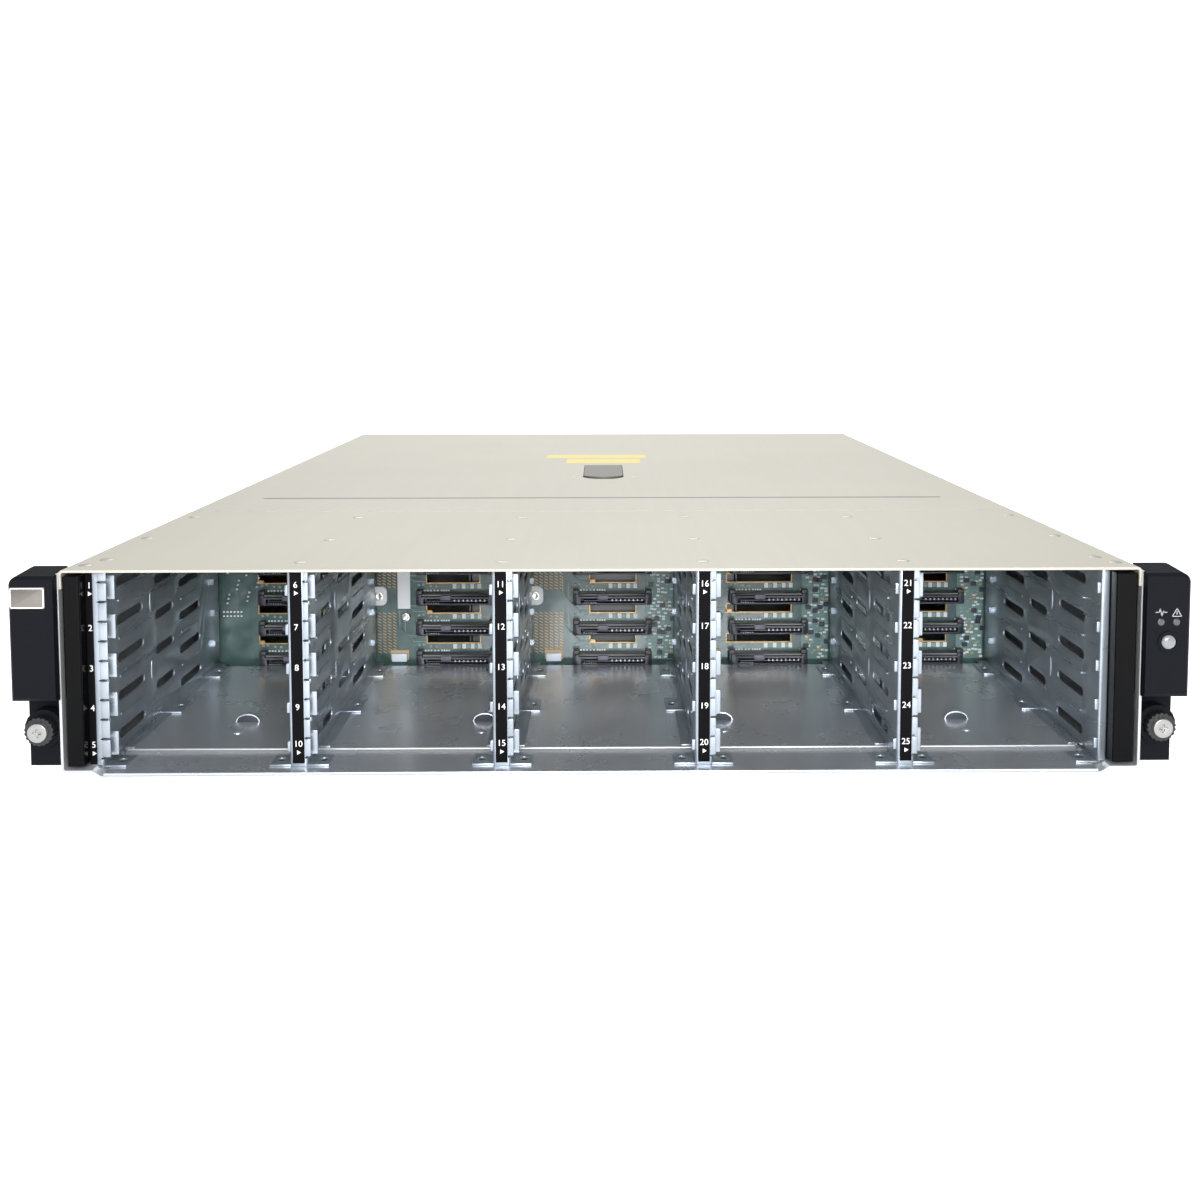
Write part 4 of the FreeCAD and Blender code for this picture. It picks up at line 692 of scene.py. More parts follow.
# ------------------------------------------------------------------------------------ drive cage
@dataclass
class DriveCage:
    """Dividers, side walls, floor and number strips round the twenty-five bays."""

    # the folded walls: distances behind the pan's front edge, heights, and the bays' pitch
    set_in: float = 6.0
    sheet: float = 0.8
    width: float = 7.5
    depth: float = 151.0
    fold: float = 1.1
    under: float = 2.4
    floor_top: float = 3.6
    lip_end: float = 22.0
    wall_face: float = 208.75
    pitch: float = 16.6
    rows: int = 5
    # slits round the front fold (depth of the long ones, of the short ones, height) and long holes
    first_slit: float = 5.9
    slit: Point = (4.0, 2.4, 0.8)
    first_slot: float = 10.8
    slot_height: float = 4.3
    outer_slots: tuple[Span, ...] = ((22.0, 50.0), (94.0, 122.0))
    middle_slots: tuple[Span, ...] = ((64.0, 86.0),)
    # front tabs, the lances behind them, their ramps, the pimples, and the stops (reach, length, height)
    guide_setback: float = 3.0
    guide_reach: float = 3.5
    guide_height: float = 10.3
    tab_reach: float = 1.3
    left_tab_reach: float = 2.8
    tab_gap: float = 0.5
    ramp_end: float = 19.5
    ramp_reach: float = 1.1
    ramp_rise: Span = (3.2, 4.4)
    pimple: Span = (6.5, 14.0)
    nub: Point = (1.2, 2.4, 4.5)
    first_nub: float = 8.4
    # pressed relief: depth of its root, ribs (rise, half height), rear lances and bumps
    root: float = 0.2
    rib: Span = (0.35, 0.6)
    lance_depth: Span = (139.0, 144.0)
    lance_reach: float = 1.8
    lance_drop: float = 2.6
    bump_depth: float = 59.0
    bumps: tuple[Span, ...] = ((23.0, 33.0), (55.0, 65.0))
    # feet with their holes and the painted shade under them, the hem between them, and the tie inside a
    # divider
    feet: tuple[Span, ...] = ((70.0, 88.0), (125.0, 143.0))
    front_foot: Span = (6.5, 18.5)
    foot_reach: float = 8.7
    hole_share: float = 0.6
    hole_radius: float = 1.8
    sink_radius: float = 1.75
    hem_reach: float = 4.6
    hem_start: float = 25.5
    tie: Span = (35.0, 36.0)
    lap: float = 0.3
    # floor: half sizes of a dome, of its hollow and of the painted shade in its mouth, and the fold that
    # carries a painted highlight (setback, radius)
    dome_places: tuple[float, ...] = (-165.0, -55.0, 55.0, 165.0)
    dome_depth: float = 58.0
    dome_sizes: tuple[Point, ...] = ((5.6, 6.4, 3.7), (4.9, 5.7, 2.9), (4.9, 0.6, 2.9))
    dimple_front: float = 14.0
    floor_fold: Span = (1.9, 0.62)
    # figures and marks of the number strips
    first_figure: float = 1.6
    figure_size: float = 3.7
    figure_heights: tuple[float, ...] = (79.7, 61.8, 44.7, 27.9, 12.3)
    mark_heights: Span = (76.3, 8.7)
    top: float = field(init=False)

    def __post_init__(self) -> None:
        """Takes the height of the walls from the CAD model."""
        self.top = Extent.of("divider_1").high.z

    def slots(self, x: Span) -> Piece:
        """Cutters for the long air holes of one wall.

        Args:
            x: Limits of the cut through the wall.

        Returns:
            All cutters as one object.
        """
        holes = []
        for row in range(self.rows):
            middle = self.first_slot + row * self.pitch
            spans = [(span, middle) for span in self.outer_slots]
            if row < self.rows - 1:
                spans += [(span, middle + self.pitch / 2) for span in self.middle_slots]
            for span, height in spans:
                holes.append(capsule("hole", x, (deep(span[0]), deep(span[1])),
                                     (height - self.slot_height / 2, height + self.slot_height / 2)))
        return join("holes", holes)

    def slits(self, face: float) -> Piece:
        """Cutters for the slits round the front fold of a wall that faces +X, two to a row.

        Args:
            face: X of the wall's face.

        Returns:
            All cutters as one object.
        """
        long_cut, short_cut, height = self.slit
        made = []
        for step in range(2 * self.rows):
            base = self.first_slit + step * self.pitch / 2
            length = short_cut if step % 2 else long_cut
            made.append(block("slit", (face - self.fold, face + 1),
                              (deep(self.set_in - 1), deep(self.set_in + length)), (base, base + height)))
        return join("slits", made)

    def guides(self, face: float, tab_reach: float) -> list[Piece]:
        """Front tabs between the slits of a wall and the lances behind them, turned towards +X.

        Args:
            face: X of the wall's face.
            tab_reach: How far the front tabs stand out from it.

        Returns:
            The tabs, the lances with the ramp behind each, and the pimples above them.
        """
        made = []
        slit_height = self.slit[2]
        front = self.set_in + self.guide_setback
        reach = self.guide_reach + tab_reach - self.tab_reach
        for step in range(2 * self.rows):
            base = self.first_slit + slit_height + step * self.pitch / 2
            top = min(base + self.pitch / 2 - slit_height, self.top - self.tab_gap)
            tab = block("tab", (face - self.fold, face + tab_reach),
                        (deep(self.set_in), deep(self.set_in + self.sheet)), (base, top))
            made.append(soften(tab, 0.35, 3))
        for row in range(self.rows):
            base = self.first_slit + slit_height + row * self.pitch
            lance = block("guide", (face - self.sheet / 2, face + reach),
                          (deep(front), deep(front + self.sheet)), (base, base + self.guide_height))
            made.append(soften(lance, 0.38, 4))
            ramp = block("ramp", (face - self.sheet / 2, face + self.ramp_reach),
                         (deep(front + self.sheet), deep(self.ramp_end)),
                         (base + self.ramp_rise[0], base + self.ramp_rise[1]))
            made.append(soften(ramp, 0.25, 2))
            if row < self.rows - 1:
                place = (face, deep(self.set_in + self.pimple[0]), base + self.pimple[1])
                made.append(ball("pimple", place, (0.9, 1.5, 1.5), 14))
        return made

    def nubs(self, face: float) -> list[Piece]:
        """Low stops on a wall's face that looks towards -X.

        Args:
            face: X of the wall's face.

        Returns:
            One stop for each row of bays.
        """
        reach, length, height = self.nub
        start = self.set_in + self.fold
        made = []
        for row in range(self.rows):
            low = self.first_nub + row * self.pitch
            stop = block("stop", (face - reach, face + self.sheet / 2), (deep(start), deep(start + length)),
                         (low, low + height))
            made.append(soften(stop, 0.35, 2))
        return made

    def relief(self, face: float, side: int) -> list[Piece]:
        """Pressed ribs between the holes, bumps and small rear lances on one face.

        Args:
            face: X of the face.
            side: 1 where it looks towards +X, else -1.

        Returns:
            The raised shapes.
        """
        made = []
        rise, rib_half = self.rib
        start, end = self.lance_depth
        root, tip = face - side * self.root, face + side * self.lance_reach
        for row in range(self.rows - 1):
            middle = self.first_slot + (row + 0.5) * self.pitch
            low = middle - self.lance_drop
            for near, far in self.outer_slots:
                made.append(capsule("rib", (root, face + side * rise), (deep(near + 2), deep(far - 3)),
                                    (middle - rib_half, middle + rib_half), 14))
            made.append(block("lance", (root, tip), (deep(start), deep(start + self.sheet)),
                              (low, middle + 0.4)))
            made.append(block("lance_arm", (tip - side * self.sheet, tip), (deep(start), deep(end)),
                              (low, low + 1.0)))
        for low, high in self.bumps:
            made.append(ball("bump", (face, deep(self.bump_depth), (low + high) / 2),
                             (0.7, 1.6, (high - low) / 2), 14))
        return made

    def hole_place(self, face: float, side: int, span: Span) -> Span:
        """X and Y of the hole in the foot between these limits."""
        return face + side * self.foot_reach * self.hole_share, deep(sum(span) / 2)

    def foot(self, face: float, side: int, span: Span, rest: float) -> Piece:
        """Foot turned out from a wall along the floor, with a round hole.

        Args:
            face: X of the wall's face.
            side: 1 where it reaches towards +X, else -1.
            span: Limits of the foot behind the front edge.
            rest: Height that it lies on.

        Returns:
            The foot.
        """
        plate = block("foot", (face - side * self.sheet / 2, face + side * self.foot_reach),
                      (deep(span[0]), deep(span[1])), (rest, rest + self.sheet))
        hole = drum("foot_hole", (*self.hole_place(face, side, span), rest + self.sheet / 2),
                    self.hole_radius, 4.0, Axis.Z, 20)
        return soften(cut(plate, hole), 0.2, 2)

    def feet_of(self, face: float, side: int) -> list[Piece]:
        """The feet on one face of a wall, one on the front lip and two on the floor, and its low hem.

        Args:
            face: X of the wall's face.
            side: 1 where it looks towards +X, else -1.

        Returns:
            The feet and the hem.
        """
        made = [self.foot(face, side, self.front_foot, self.under)]
        made += [self.foot(face, side, span, self.floor_top) for span in self.feet]
        hem = block("hem", (face - side * self.sheet / 2, face + side * self.hem_reach),
                    (deep(self.hem_start), deep(self.depth - 1)), (self.floor_top, self.floor_top + 0.5))
        made.append(soften(hem, 0.2, 2))
        return made

    def hollow(self, body: Piece, core: Span, across: Span) -> None:
        """Takes the inside out of a folded wall and lifts it where the floor sheet passes below it.

        Args:
            body: The wall as a full block.
            core: Limits of the inside along X.
            across: Limits along X that hold the whole wall.
        """
        cut(body, block("core", core, (deep(self.set_in + self.sheet), deep(self.depth + 1)),
                        (0, self.top + 1)))
        cut(body, block("raise", across, (deep(self.lip_end - self.lap), deep(self.depth + 1)),
                        (0, self.floor_top)))

    def finished(self, body: Piece, face: float, slit: bool) -> Piece:
        """Rounds a wall's small edges, cuts its slits and shades it smooth between its edges.

        Args:
            body: The wall with its holes.
            face: X of the face that looks towards +X.
            slit: True where that face has slits round its front fold.

        Returns:
            The wall.
        """
        soften(body, 0.2, 2)
        if slit:
            cut(body, self.slits(face))
        only(body)
        bpy.ops.object.shade_smooth_by_angle(angle=math.radians(30))
        return body

    def divider_model(self) -> Piece:
        """One divider at X zero, folded from a single sheet round its front edge.

        Returns:
            The divider with all that stands out from it.
        """
        half = self.width / 2
        body = block("divider_model", (-half, half), (deep(self.set_in), deep(self.depth)),
                     (self.under, self.top))
        round_edges(body, 2, self.fold, deep(self.set_in))
        self.hollow(body, (-half + self.sheet, half - self.sheet), (-half - 1, half + 1))
        cut(body, self.slots((-half - 1, half + 1)))
        parts = [self.finished(body, half, True)]
        for side in (-1, 1):
            parts += self.relief(side * half, side) + self.feet_of(side * half, side)
        parts += self.guides(half, self.tab_reach) + self.nubs(-half)
        parts.append(block("tie", (-half + self.sheet, half - self.sheet),
                           (deep(self.tie[0]), deep(self.tie[1])), (self.floor_top + 3, self.top - 3)))
        return join("divider_model", parts)

    def wall(self, node: str, side: int) -> Piece:
        """One outer wall of the cage, its front edge turned outward into a flange.

        Args:
            node: Name of its CAD node.
            side: 1 for the wall on the +X side of the cage, else -1.

        Returns:
            The wall with its fittings.
        """
        box = Extent.of(node)
        face = side * self.wall_face
        outer = box.high.x if side > 0 else box.low.x
        body = block(f"{node}_fine", (face, outer), (deep(self.set_in), deep(self.depth)),
                     (self.under, self.top))
        round_edges(body, 2, self.fold * 0.7, deep(self.set_in))
        self.hollow(body, (face + side * self.sheet, outer + side), (face - side, outer + side))
        cut(body, block("lift", (face + side * self.sheet, outer + side),
                        (deep(self.set_in - 1), deep(self.lip_end)), (0, self.floor_top)))
        cut(body, self.slots((face - 2, face + 2)))
        parts = [self.finished(body, face, side < 0)] + self.relief(face, -side) + self.feet_of(face, -side)
        parts += self.guides(face, self.left_tab_reach) if side < 0 else self.nubs(face)
        return join(f"{node}_fine", parts)

    def domes(self) -> tuple[Piece, Piece]:
        """Half-round bumps of the floor, open at the front, with a raised dimple in front of each.

        Returns:
            The bumps with their dimples, and the thin dark pieces of painted shade in the mouths of the
            bumps.
        """
        parts, mouth_shades = [], []
        place, low = self.dome_depth, self.floor_top - 5
        for x in self.dome_places:
            bump, hollow, mouth_shade = (ball("dome", (x, deep(place), self.floor_top), size, 32)
                                   for size in self.dome_sizes)
            bump = cut(bump, block("front", (x - 7, x + 7), (deep(place - 7), deep(place)),
                                   (low, self.floor_top + 5)))
            bump = cut(bump, block("below", (x - 7, x + 7), (deep(place - 1), deep(place + 8)),
                                   (low, self.floor_top - 0.3)))
            parts.append(soften(cut(bump, hollow), 0.25, 3, 50.0))
            # painted shade: a thin dark piece in each dome's open mouth, where the hollow shows only shade
            mouth_shades.append(cut(mouth_shade, block("low", (x - 6, x + 6), (deep(place - 2), deep(place + 2)),
                                           (low, self.floor_top + 0.02))))
            parts.append(ball("dimple", (x, deep(place - self.dimple_front), self.floor_top),
                              (2.2, 2.2, 0.9), 24))
        return join("floor_domes", parts), join("floor_dome_mouth_shades", mouth_shades)

    def sinks(self) -> Piece:
        """Dark discs of painted shade on the floor under the holes of the feet.

        Returns:
            All of them as one piece.
        """
        parts = []
        faces = [(x + side * self.width / 2, side) for x in DIVIDERS for side in (-1, 1)]
        faces += [(side * self.wall_face, -side) for side in SIDES.values()]
        rests = [(self.front_foot, self.under)] + [(span, self.floor_top) for span in self.feet]
        for face, side in faces:
            for span, rest in rests:
                # painted shade: a thin dark disc on the floor under each foot hole
                parts.append(drum("hole_shade_disc", (*self.hole_place(face, side, span), rest), self.sink_radius,
                                  0.1, Axis.Z, 20))
        return join("foot_hole_shades", parts)

    def floor(self) -> None:
        """Floor sheet with a painted highlight along its fold, its domes, and painted shade in the dome
        mouths and under the holes of the feet.
        """
        dress(refined("cage_floor", 0.3, 30.0), Finishes.FLOOR, "cage_floor", True)
        domes, mouth_shades = self.domes()
        dress(domes, Finishes.FLOOR, "cage_floor")
        dress(mouth_shades, Finishes.SHADE, "cage_floor")
        dress(self.sinks(), Finishes.SHADE, "cage_floor")
        setback, radius = self.floor_fold
        length = 2 * (self.wall_face - 2.5)
        # the rod along the fold carries a painted highlight
        fold = drum("floor_fold", (0, deep(self.lip_end + setback), self.floor_top - 0.42), radius, length,
                    Axis.X, 20)
        only(fold)
        bpy.ops.object.shade_smooth_by_angle(angle=math.radians(40))
        dress(fold, Finishes.FOLD, "cage_floor")

    def labels(self) -> None:
        """Number strips with a figure for every bay and two small marks on each strip."""
        dress(refined("bay_label_strips", 0.08), Finishes.LABEL, "bay_label_strips", True)
        box = Extent.of("bay_label_strips")
        front = box.low.y - 0.03
        middles = [box.low.x + self.first_figure] + DIVIDERS
        figures = []
        for column, x in enumerate(middles):
            for row, height in enumerate(self.figure_heights):
                number = column * self.rows + row + 1
                figures.append(lettering("figure", str(number), self.figure_size, (x, front, height)))
            for height in self.mark_heights:
                bpy.ops.object.select_all(action="DESELECT")
                bpy.ops.mesh.primitive_cylinder_add(vertices=3, radius=1.1 * MM, depth=0.05 * MM,
                                                    location=(x * MM, front * MM, height * MM),
                                                    rotation=(math.pi / 2, math.pi / 2, 0))
                figures.append(settle("mark"))
        dress(join("bay_figures", figures), Finishes.MARK, "bay_label_strips")

    def build(self) -> None:
        """Builds the whole cage."""
        model = self.divider_model()
        made = copies(model, lambda number: f"divider_{number + 1}_fine", [(x, 0.0, 0.0) for x in DIVIDERS])
        bpy.data.objects.remove(model, do_unlink=True)
        for number, piece in enumerate(made, start=1):
            dress(piece, Finishes.CAGE, f"divider_{number}", True)
        for side, sign in SIDES.items():
            dress(self.wall(f"cage_wall_{side}", sign), Finishes.CAGE, f"cage_wall_{side}", True)
        self.floor()
        self.labels()


# ------------------------------------------------------------------------------------ drive backplane
@dataclass(frozen=True)
class ToothRow:
    """Row of pale contact teeth, measured from a receptacle's left end, row height and front face."""

    first: float
    pitch: float
    width: float
    low: float
    height: float
    proud: float
    count: int


@dataclass
class Backplane:
    """Board across the back of the bays with its receptacles, plated vents and small parts."""

    # receptacles: places from the middle of a column and the middle of a row
    pitch: float = 16.6
    first_row: float = 6.9
    rows: int = 5
    connector_left: float = -16.5
    connector_width: float = 42.8
    connector_height: float = 7.5
    reach: float = 6.6
    tower: float = 3.4
    socket_insets: Span = (4.6, 3.6)
    socket_heights: Span = (-2.7, -0.3)
    tongue_heights: Span = (-1.9, -1.2)
    key_place: Span = (13.6, 19.2)
    tooth_rows: tuple[ToothRow, ...] = (ToothRow(6.0, 1.25, 0.5, -3.1, 0.7, -0.1, 6),
                                        ToothRow(21.0, 2.3, 0.7, -1.6, 1.0, 0.1, 8))
    # air slots, from the middle of a column, and their plated rim
    vent_right: float = 17.6
    vent_lefts: tuple[float, ...] = (-17.3, -11.0, -7.0, -17.4, 2.6)
    vent_foot: float = 14.2
    vent_height: float = 4.2
    rim: float = 0.5
    # screws beside the dividers: heights, head (radius, thickness) and cross (half length, half width)
    screw_shift: float = 5.6
    screw_rows: Span = (40.2, 72.5)
    screw_head: Span = (2.3, 0.9)
    screw_cross: Span = (1.4, 0.35)
    # plated fields (left end, number of columns, start of the upper part) and the tracks below them
    via_pitch: Span = (2.75, 1.65)
    via_fields: tuple[tuple[float, int, float], ...] = ((-122.0, 4, 45.0), (-36.6, 6, 44.0))
    via_low: Span = (9.0, 33.0)
    via_top: float = 80.0
    track_starts: tuple[float, ...] = (-112.5, -22.0, 52.0, 137.0)
    track_count: int = 4
    track_pitch: Span = (1.5, 1.6)
    # small parts: the crowd right of each column, and pads and dashes round each receptacle
    crowd_start: float = 24.6
    crowd_pitch: Span = (2.15, 1.9)
    crowd_counts: tuple[int, ...] = (1, 2, 6, 6, 6)
    crowd_lines: int = 42
    pad_places: tuple[float, ...] = (3.0, 7.9, 12.6, 16.4)
    grey_places: tuple[float, ...] = (5.4, 10.3, 14.6)
    teal_places: tuple[float, ...] = (-16.0, -13.6, -9.6, -6.4)
    dash_places: tuple[float, ...] = (-17.0, -15.4, -12.6, -11.0, -9.4, -7.4, -5.6, -3.6, -2.3, -1.0, 0.3,
                                      22.6, 24.2)
    edge_dashes: int = 6
    loose_dashes: int = 34
    # larger parts
    pour_width: float = 14.4
    bare_strip: Span = (-112.0, -105.2)
    low_socket_places: tuple[float, ...] = (-116.0, -31.9, 54.0, 139.0)
    nut_places: Span = (-107.6, 62.5)
    nut_height: float = 28.6
    face: float = field(init=False)

    def __post_init__(self) -> None:
        """Takes the front face of the board from the CAD model."""
        self.face = Extent.of("drive_backplane").low.y

    def skin(self, thickness: float) -> Span:
        """Limits along Y of something this thick that lies on the board."""
        return self.face - thickness, self.face

    def connector(self) -> dict[str, Piece]:
        """Receptacle in the lowest left bay.

        Returns:
            Its dark body between two towers, its grey key, and the pale teeth along its socket.
        """
        left = COLUMNS[0] + self.connector_left
        right = left + self.connector_width
        base, rise = self.first_row, self.connector_height / 2
        front = self.face - self.reach
        body = block("receptacle", (left + 1, right - 1), (front, self.face), (base - rise, base + 2.0))
        body = cut(body, block("socket", (left + self.socket_insets[0], right - self.socket_insets[1]),
                               (front - 1, front + 4.4),
                               (base + self.socket_heights[0], base + self.socket_heights[1])))
        body = cut(body, block("step", (left + self.tower, right - self.tower), (front - 1, front + 1.8),
                               (base + 0.9, base + 3)))
        parts = [soften(body, 0.25, 2)]
        for x in (left, right - self.tower):
            parts.append(soften(block("tower", (x, x + self.tower), (front + 1.6, self.face),
                                      (base - rise, base + rise)), 0.3, 2))
        parts.append(soften(block("tongue", (left + 6, right - 5), (front + 0.6, front + 4.6),
                                  (base + self.tongue_heights[0], base + self.tongue_heights[1])), 0.15, 1))
        key = soften(block("key", (left + self.key_place[0], left + self.key_place[1]),
                           (front - 0.25, front + 3.0), (base - 0.9, base + 1.5)), 0.2, 2)
        teeth = []
        for row in self.tooth_rows:
            for number in range(row.count):
                start = left + row.first + row.pitch * number
                teeth.append(block("tooth", (start, start + row.width), (front - row.proud, front + 0.5),
                                   (base + row.low, base + row.low + row.height)))
        return {"body": join("receptacle", parts), "key": key, "teeth": join("teeth", teeth)}

    def bay_shifts(self) -> list[Point]:
        """Shifts from the lowest left bay to every bay."""
        return [(x - COLUMNS[0], 0.0, row * self.pitch) for x in COLUMNS for row in range(self.rows)]

    def vent_edges(self) -> Piece:
        """Plated rims of the air slots, some with a step at their left end.

        Returns:
            All rims as one piece.
        """
        parts = []
        skin = self.skin(0.08)
        for column, (centre, left) in enumerate(zip(COLUMNS, self.vent_lefts)):
            for row in range(self.rows - 1):
                foot = self.vent_foot + row * self.pitch
                span = (centre + left - self.rim, centre + self.vent_right + self.rim)
                for low in (foot - self.rim, foot + self.vent_height):
                    parts.append(block("rim", span, skin, (low, low + self.rim)))
                for x in (span[0], span[1] - self.rim):
                    parts.append(block("rim_end", (x, x + self.rim), skin, (foot, foot + self.vent_height)))
                if (column + row) % 2 == 0:
                    parts.append(block("rim_step", (span[0], span[0] + 3.2), skin, (foot, foot + 1.4)))
        return join("vent_rims", parts)

    def vias(self) -> Piece:
        """Fields of plated zigzag rows beside the first two dividers.

        Returns:
            All fields as one piece.
        """
        mark = stroke((0.0, 0.0), self.skin(0.06), ((-0.75, 0.4), (0.75, -0.4)), 0.2)[0]
        step_x, step_z = self.via_pitch
        shifts = []
        for start, columns, upper in self.via_fields:
            for column in range(columns):
                for low, high in (self.via_low, (upper, self.via_top)):
                    shifts += [(start + column * step_x, 0.0, low + step * step_z)
                               for step in range(int((high - low) / step_z))]
        return repeat(mark, "vias", shifts)

    def tracks(self) -> tuple[Piece, Piece]:
        """Fine copper tracks under the mask, which run down and bend off towards the receptacles.

        Returns:
            The pale tracks and the dark ones.
        """
        pale, dark = [], []
        step_x, step_z = self.track_pitch
        for column, x in enumerate(self.track_starts):
            for row in range(self.rows - 1):
                for number in range(self.track_count):
                    bend = (row + 1) * self.pitch + 8.0 - number * step_z
                    points = ((0.0, bend + 9.0), (0.0, bend), (5.0, bend - 5.0), (8.0 + number, bend - 5.0))
                    made = stroke((x + number * step_x, 0.0), self.skin(0.05), points, 0.16)
                    (pale if (number + column) % 2 else dark).extend(made)
        return join("pale_tracks", pale), join("dark_tracks", dark)

    def crowd(self, groups: dict[str, list[Point]]) -> None:
        """Adds the places of the crowded small parts on the right of each column of receptacles.

        Args:
            groups: Places of each kind of part, which are added to.
        """
        order = ("pale", "teal", "pale", "chip", "none", "pale", "tan", "none", "teal", "pale", "none")
        step_x, step_z = self.crowd_pitch
        for column, (centre, count) in enumerate(zip(COLUMNS, self.crowd_counts)):
            for line in range(self.crowd_lines):
                for number in range(count):
                    pick = (line * 7 + number * 3 + column * 5 + line * number % 5) % len(order)
                    if order[pick] != "none":
                        x = centre + self.crowd_start + step_x * (number + (line + pick) % 3 * 0.25)
                        z = 5.0 + step_z * line + 0.25 * ((line + 2 * number) % 3)
                        groups[order[pick]].append((x, 0.0, z))

    def legends(self, groups: dict[str, list[Point]]) -> None:
        """Adds the places of the pads, dashes and bits round each receptacle and by the left edge.

        Args:
            groups: Places of each kind of part, which are added to.
        """
        for centre in COLUMNS:
            for row in range(self.rows):
                base = self.first_row + row * self.pitch
                groups["pad"] += [(centre + x, 0.0, base + 4.0) for x in self.pad_places]
                groups["grey"] += [(centre + x, 0.0, base + 4.2) for x in self.grey_places]
                groups["dash"] += [(centre + x, 0.0, base + 2.6) for x in self.dash_places]
                groups["teal"] += [(centre + x, 0.0, base + 4.4 + (x * x) % 1.7) for x in self.teal_places]
        for step in range(self.edge_dashes):
            groups["dash"] += [(-207.0 + step * 1.9, 0.0, height) for height in (28.9, 31.2)]
        for step in range(self.loose_dashes):
            groups["dash"].append((-205.0 + step * 5.3 % 21.0, 0.0, 36.0 + step * 7.7 % 45.0))

    def small_parts(self) -> None:
        """Everything small on the board, grouped by kind."""
        kinds = {"pale": ((1.7, 1.0), 0.5, Finishes.PALE), "teal": ((1.3, 1.2), 0.4, Finishes.TEAL),
                 "chip": ((2.9, 2.4), 0.9, Finishes.CHIP), "tan": ((1.5, 1.0), 0.7, Finishes.TAN),
                 "pad": ((2.1, 2.6), 0.3, Finishes.PALE), "grey": ((1.9, 2.2), 0.5, Finishes.TEAL),
                 "dash": ((0.95, 0.75), 0.2, Finishes.STRIP)}
        groups: dict[str, list[Point]] = {kind: [] for kind in kinds}
        self.crowd(groups)
        self.legends(groups)
        for kind, (size, thickness, finish) in kinds.items():
            model = block(kind, (0.0, size[0]), self.skin(thickness), (0.0, size[1]))
            dress(repeat(model, f"board_{kind}_parts", groups[kind]), finish, "drive_backplane")

    def large_parts(self) -> None:
        """Copper pours, bare strip, round nuts and the low sockets in their tan frames."""
        pours = []
        for x in COLUMNS[2:]:
            left = x + self.crowd_start - 1.0
            pours.append(block("pour", (left, left + self.pour_width), self.skin(0.04), (4.5, 84.0)))
        dress(join("board_pours", pours), Finishes.POUR, "drive_backplane")
        strip = block("bare_strip", self.bare_strip, self.skin(0.12), (33.0, 80.0))
        dress(strip, Finishes.STRIP, "drive_backplane")
        frames, sockets = [], []
        for x in self.low_socket_places:
            frames.append(block("frame", (x, x + 9.8), self.skin(0.5), (4.9, 10.2)))
            socket = block("low_socket", (x + 0.8, x + 9.0), self.skin(2.6), (4.3, 8.6))
            sockets.append(soften(socket, 0.3, 2))
        dress(join("socket_frames", frames), Finishes.TAN, "drive_backplane")
        dress(join("low_sockets", sockets), Finishes.PALE_BLUE, "drive_backplane")
        nuts = [soften(drum("nut", (x, self.face - 0.9, self.nut_height), 2.9, 1.8, Axis.Y, 28, 2.3), 0.3, 2)
                for x in self.nut_places]
        nuts += [hoop("nut_rim", (x, self.face - 1.8, self.nut_height), 1.3, 0.4, Axis.Y, 24)
                 for x in self.nut_places]
        dress(join("board_nuts", nuts), Finishes.BRIGHT, "drive_backplane")

    def screws(self) -> None:
        """Board screws with a cross recess, on pale plates with rounded corners."""
        x, z = DIVIDERS[0] + self.screw_shift, self.screw_rows[0]
        radius, thickness = self.screw_head
        head = drum("head", (x, self.face - 1.5, z), radius, thickness, Axis.Y, 24)
        for wide, tall in (self.screw_cross, self.screw_cross[::-1]):
            head = cut(head, block("cross", (x - wide, x + wide), (self.face - 2.2, self.face - 1.5),
                                   (z - tall, z + tall)))
        plate = block("plate", (x - 5.0, x + 4.2), (self.face - 1.0, self.face), (z - 5.2, z + 5.2))
        plate = soften(round_edges(plate, 1, 3.0), 0.2, 2)
        shifts = [(place - DIVIDERS[0], 0.0, height - z) for place in DIVIDERS for height in self.screw_rows]
        heads = repeat(soften(head, 0.12, 2), "backplane_screws_fine", shifts)
        dress(heads, Finishes.BRIGHT, "backplane_screws", True)
        dress(repeat(plate, "screw_plates", shifts), Finishes.STRIP, "backplane_screws")

    def build(self) -> None:
        """Builds the board and everything on it."""
        dress(refined("drive_backplane", 0.12), Finishes.BOARD, "drive_backplane", True)
        dress(self.vent_edges(), Finishes.GOLD, "drive_backplane")
        dress(self.vias(), Finishes.GOLD, "drive_backplane")
        for piece, finish in zip(self.tracks(), (Finishes.TEAL, Finishes.DARK_TRACK)):
            dress(piece, finish, "drive_backplane")
        self.small_parts()
        self.large_parts()
        shifts = self.bay_shifts()
        made = self.connector()
        bodies = repeat(made["body"], "drive_connectors_fine", shifts)
        dress(bodies, Finishes.SOCKET, "drive_connectors", True)
        dress(repeat(made["key"], "connector_keys", shifts), Finishes.KEY, "drive_connectors")
        dress(repeat(made["teeth"], "connector_teeth", shifts), Finishes.TOOTH, "drive_connectors")
        self.screws()
        dress(refined("module_sockets", 0.3), Finishes.SOCKET_REAR, "module_sockets", True)


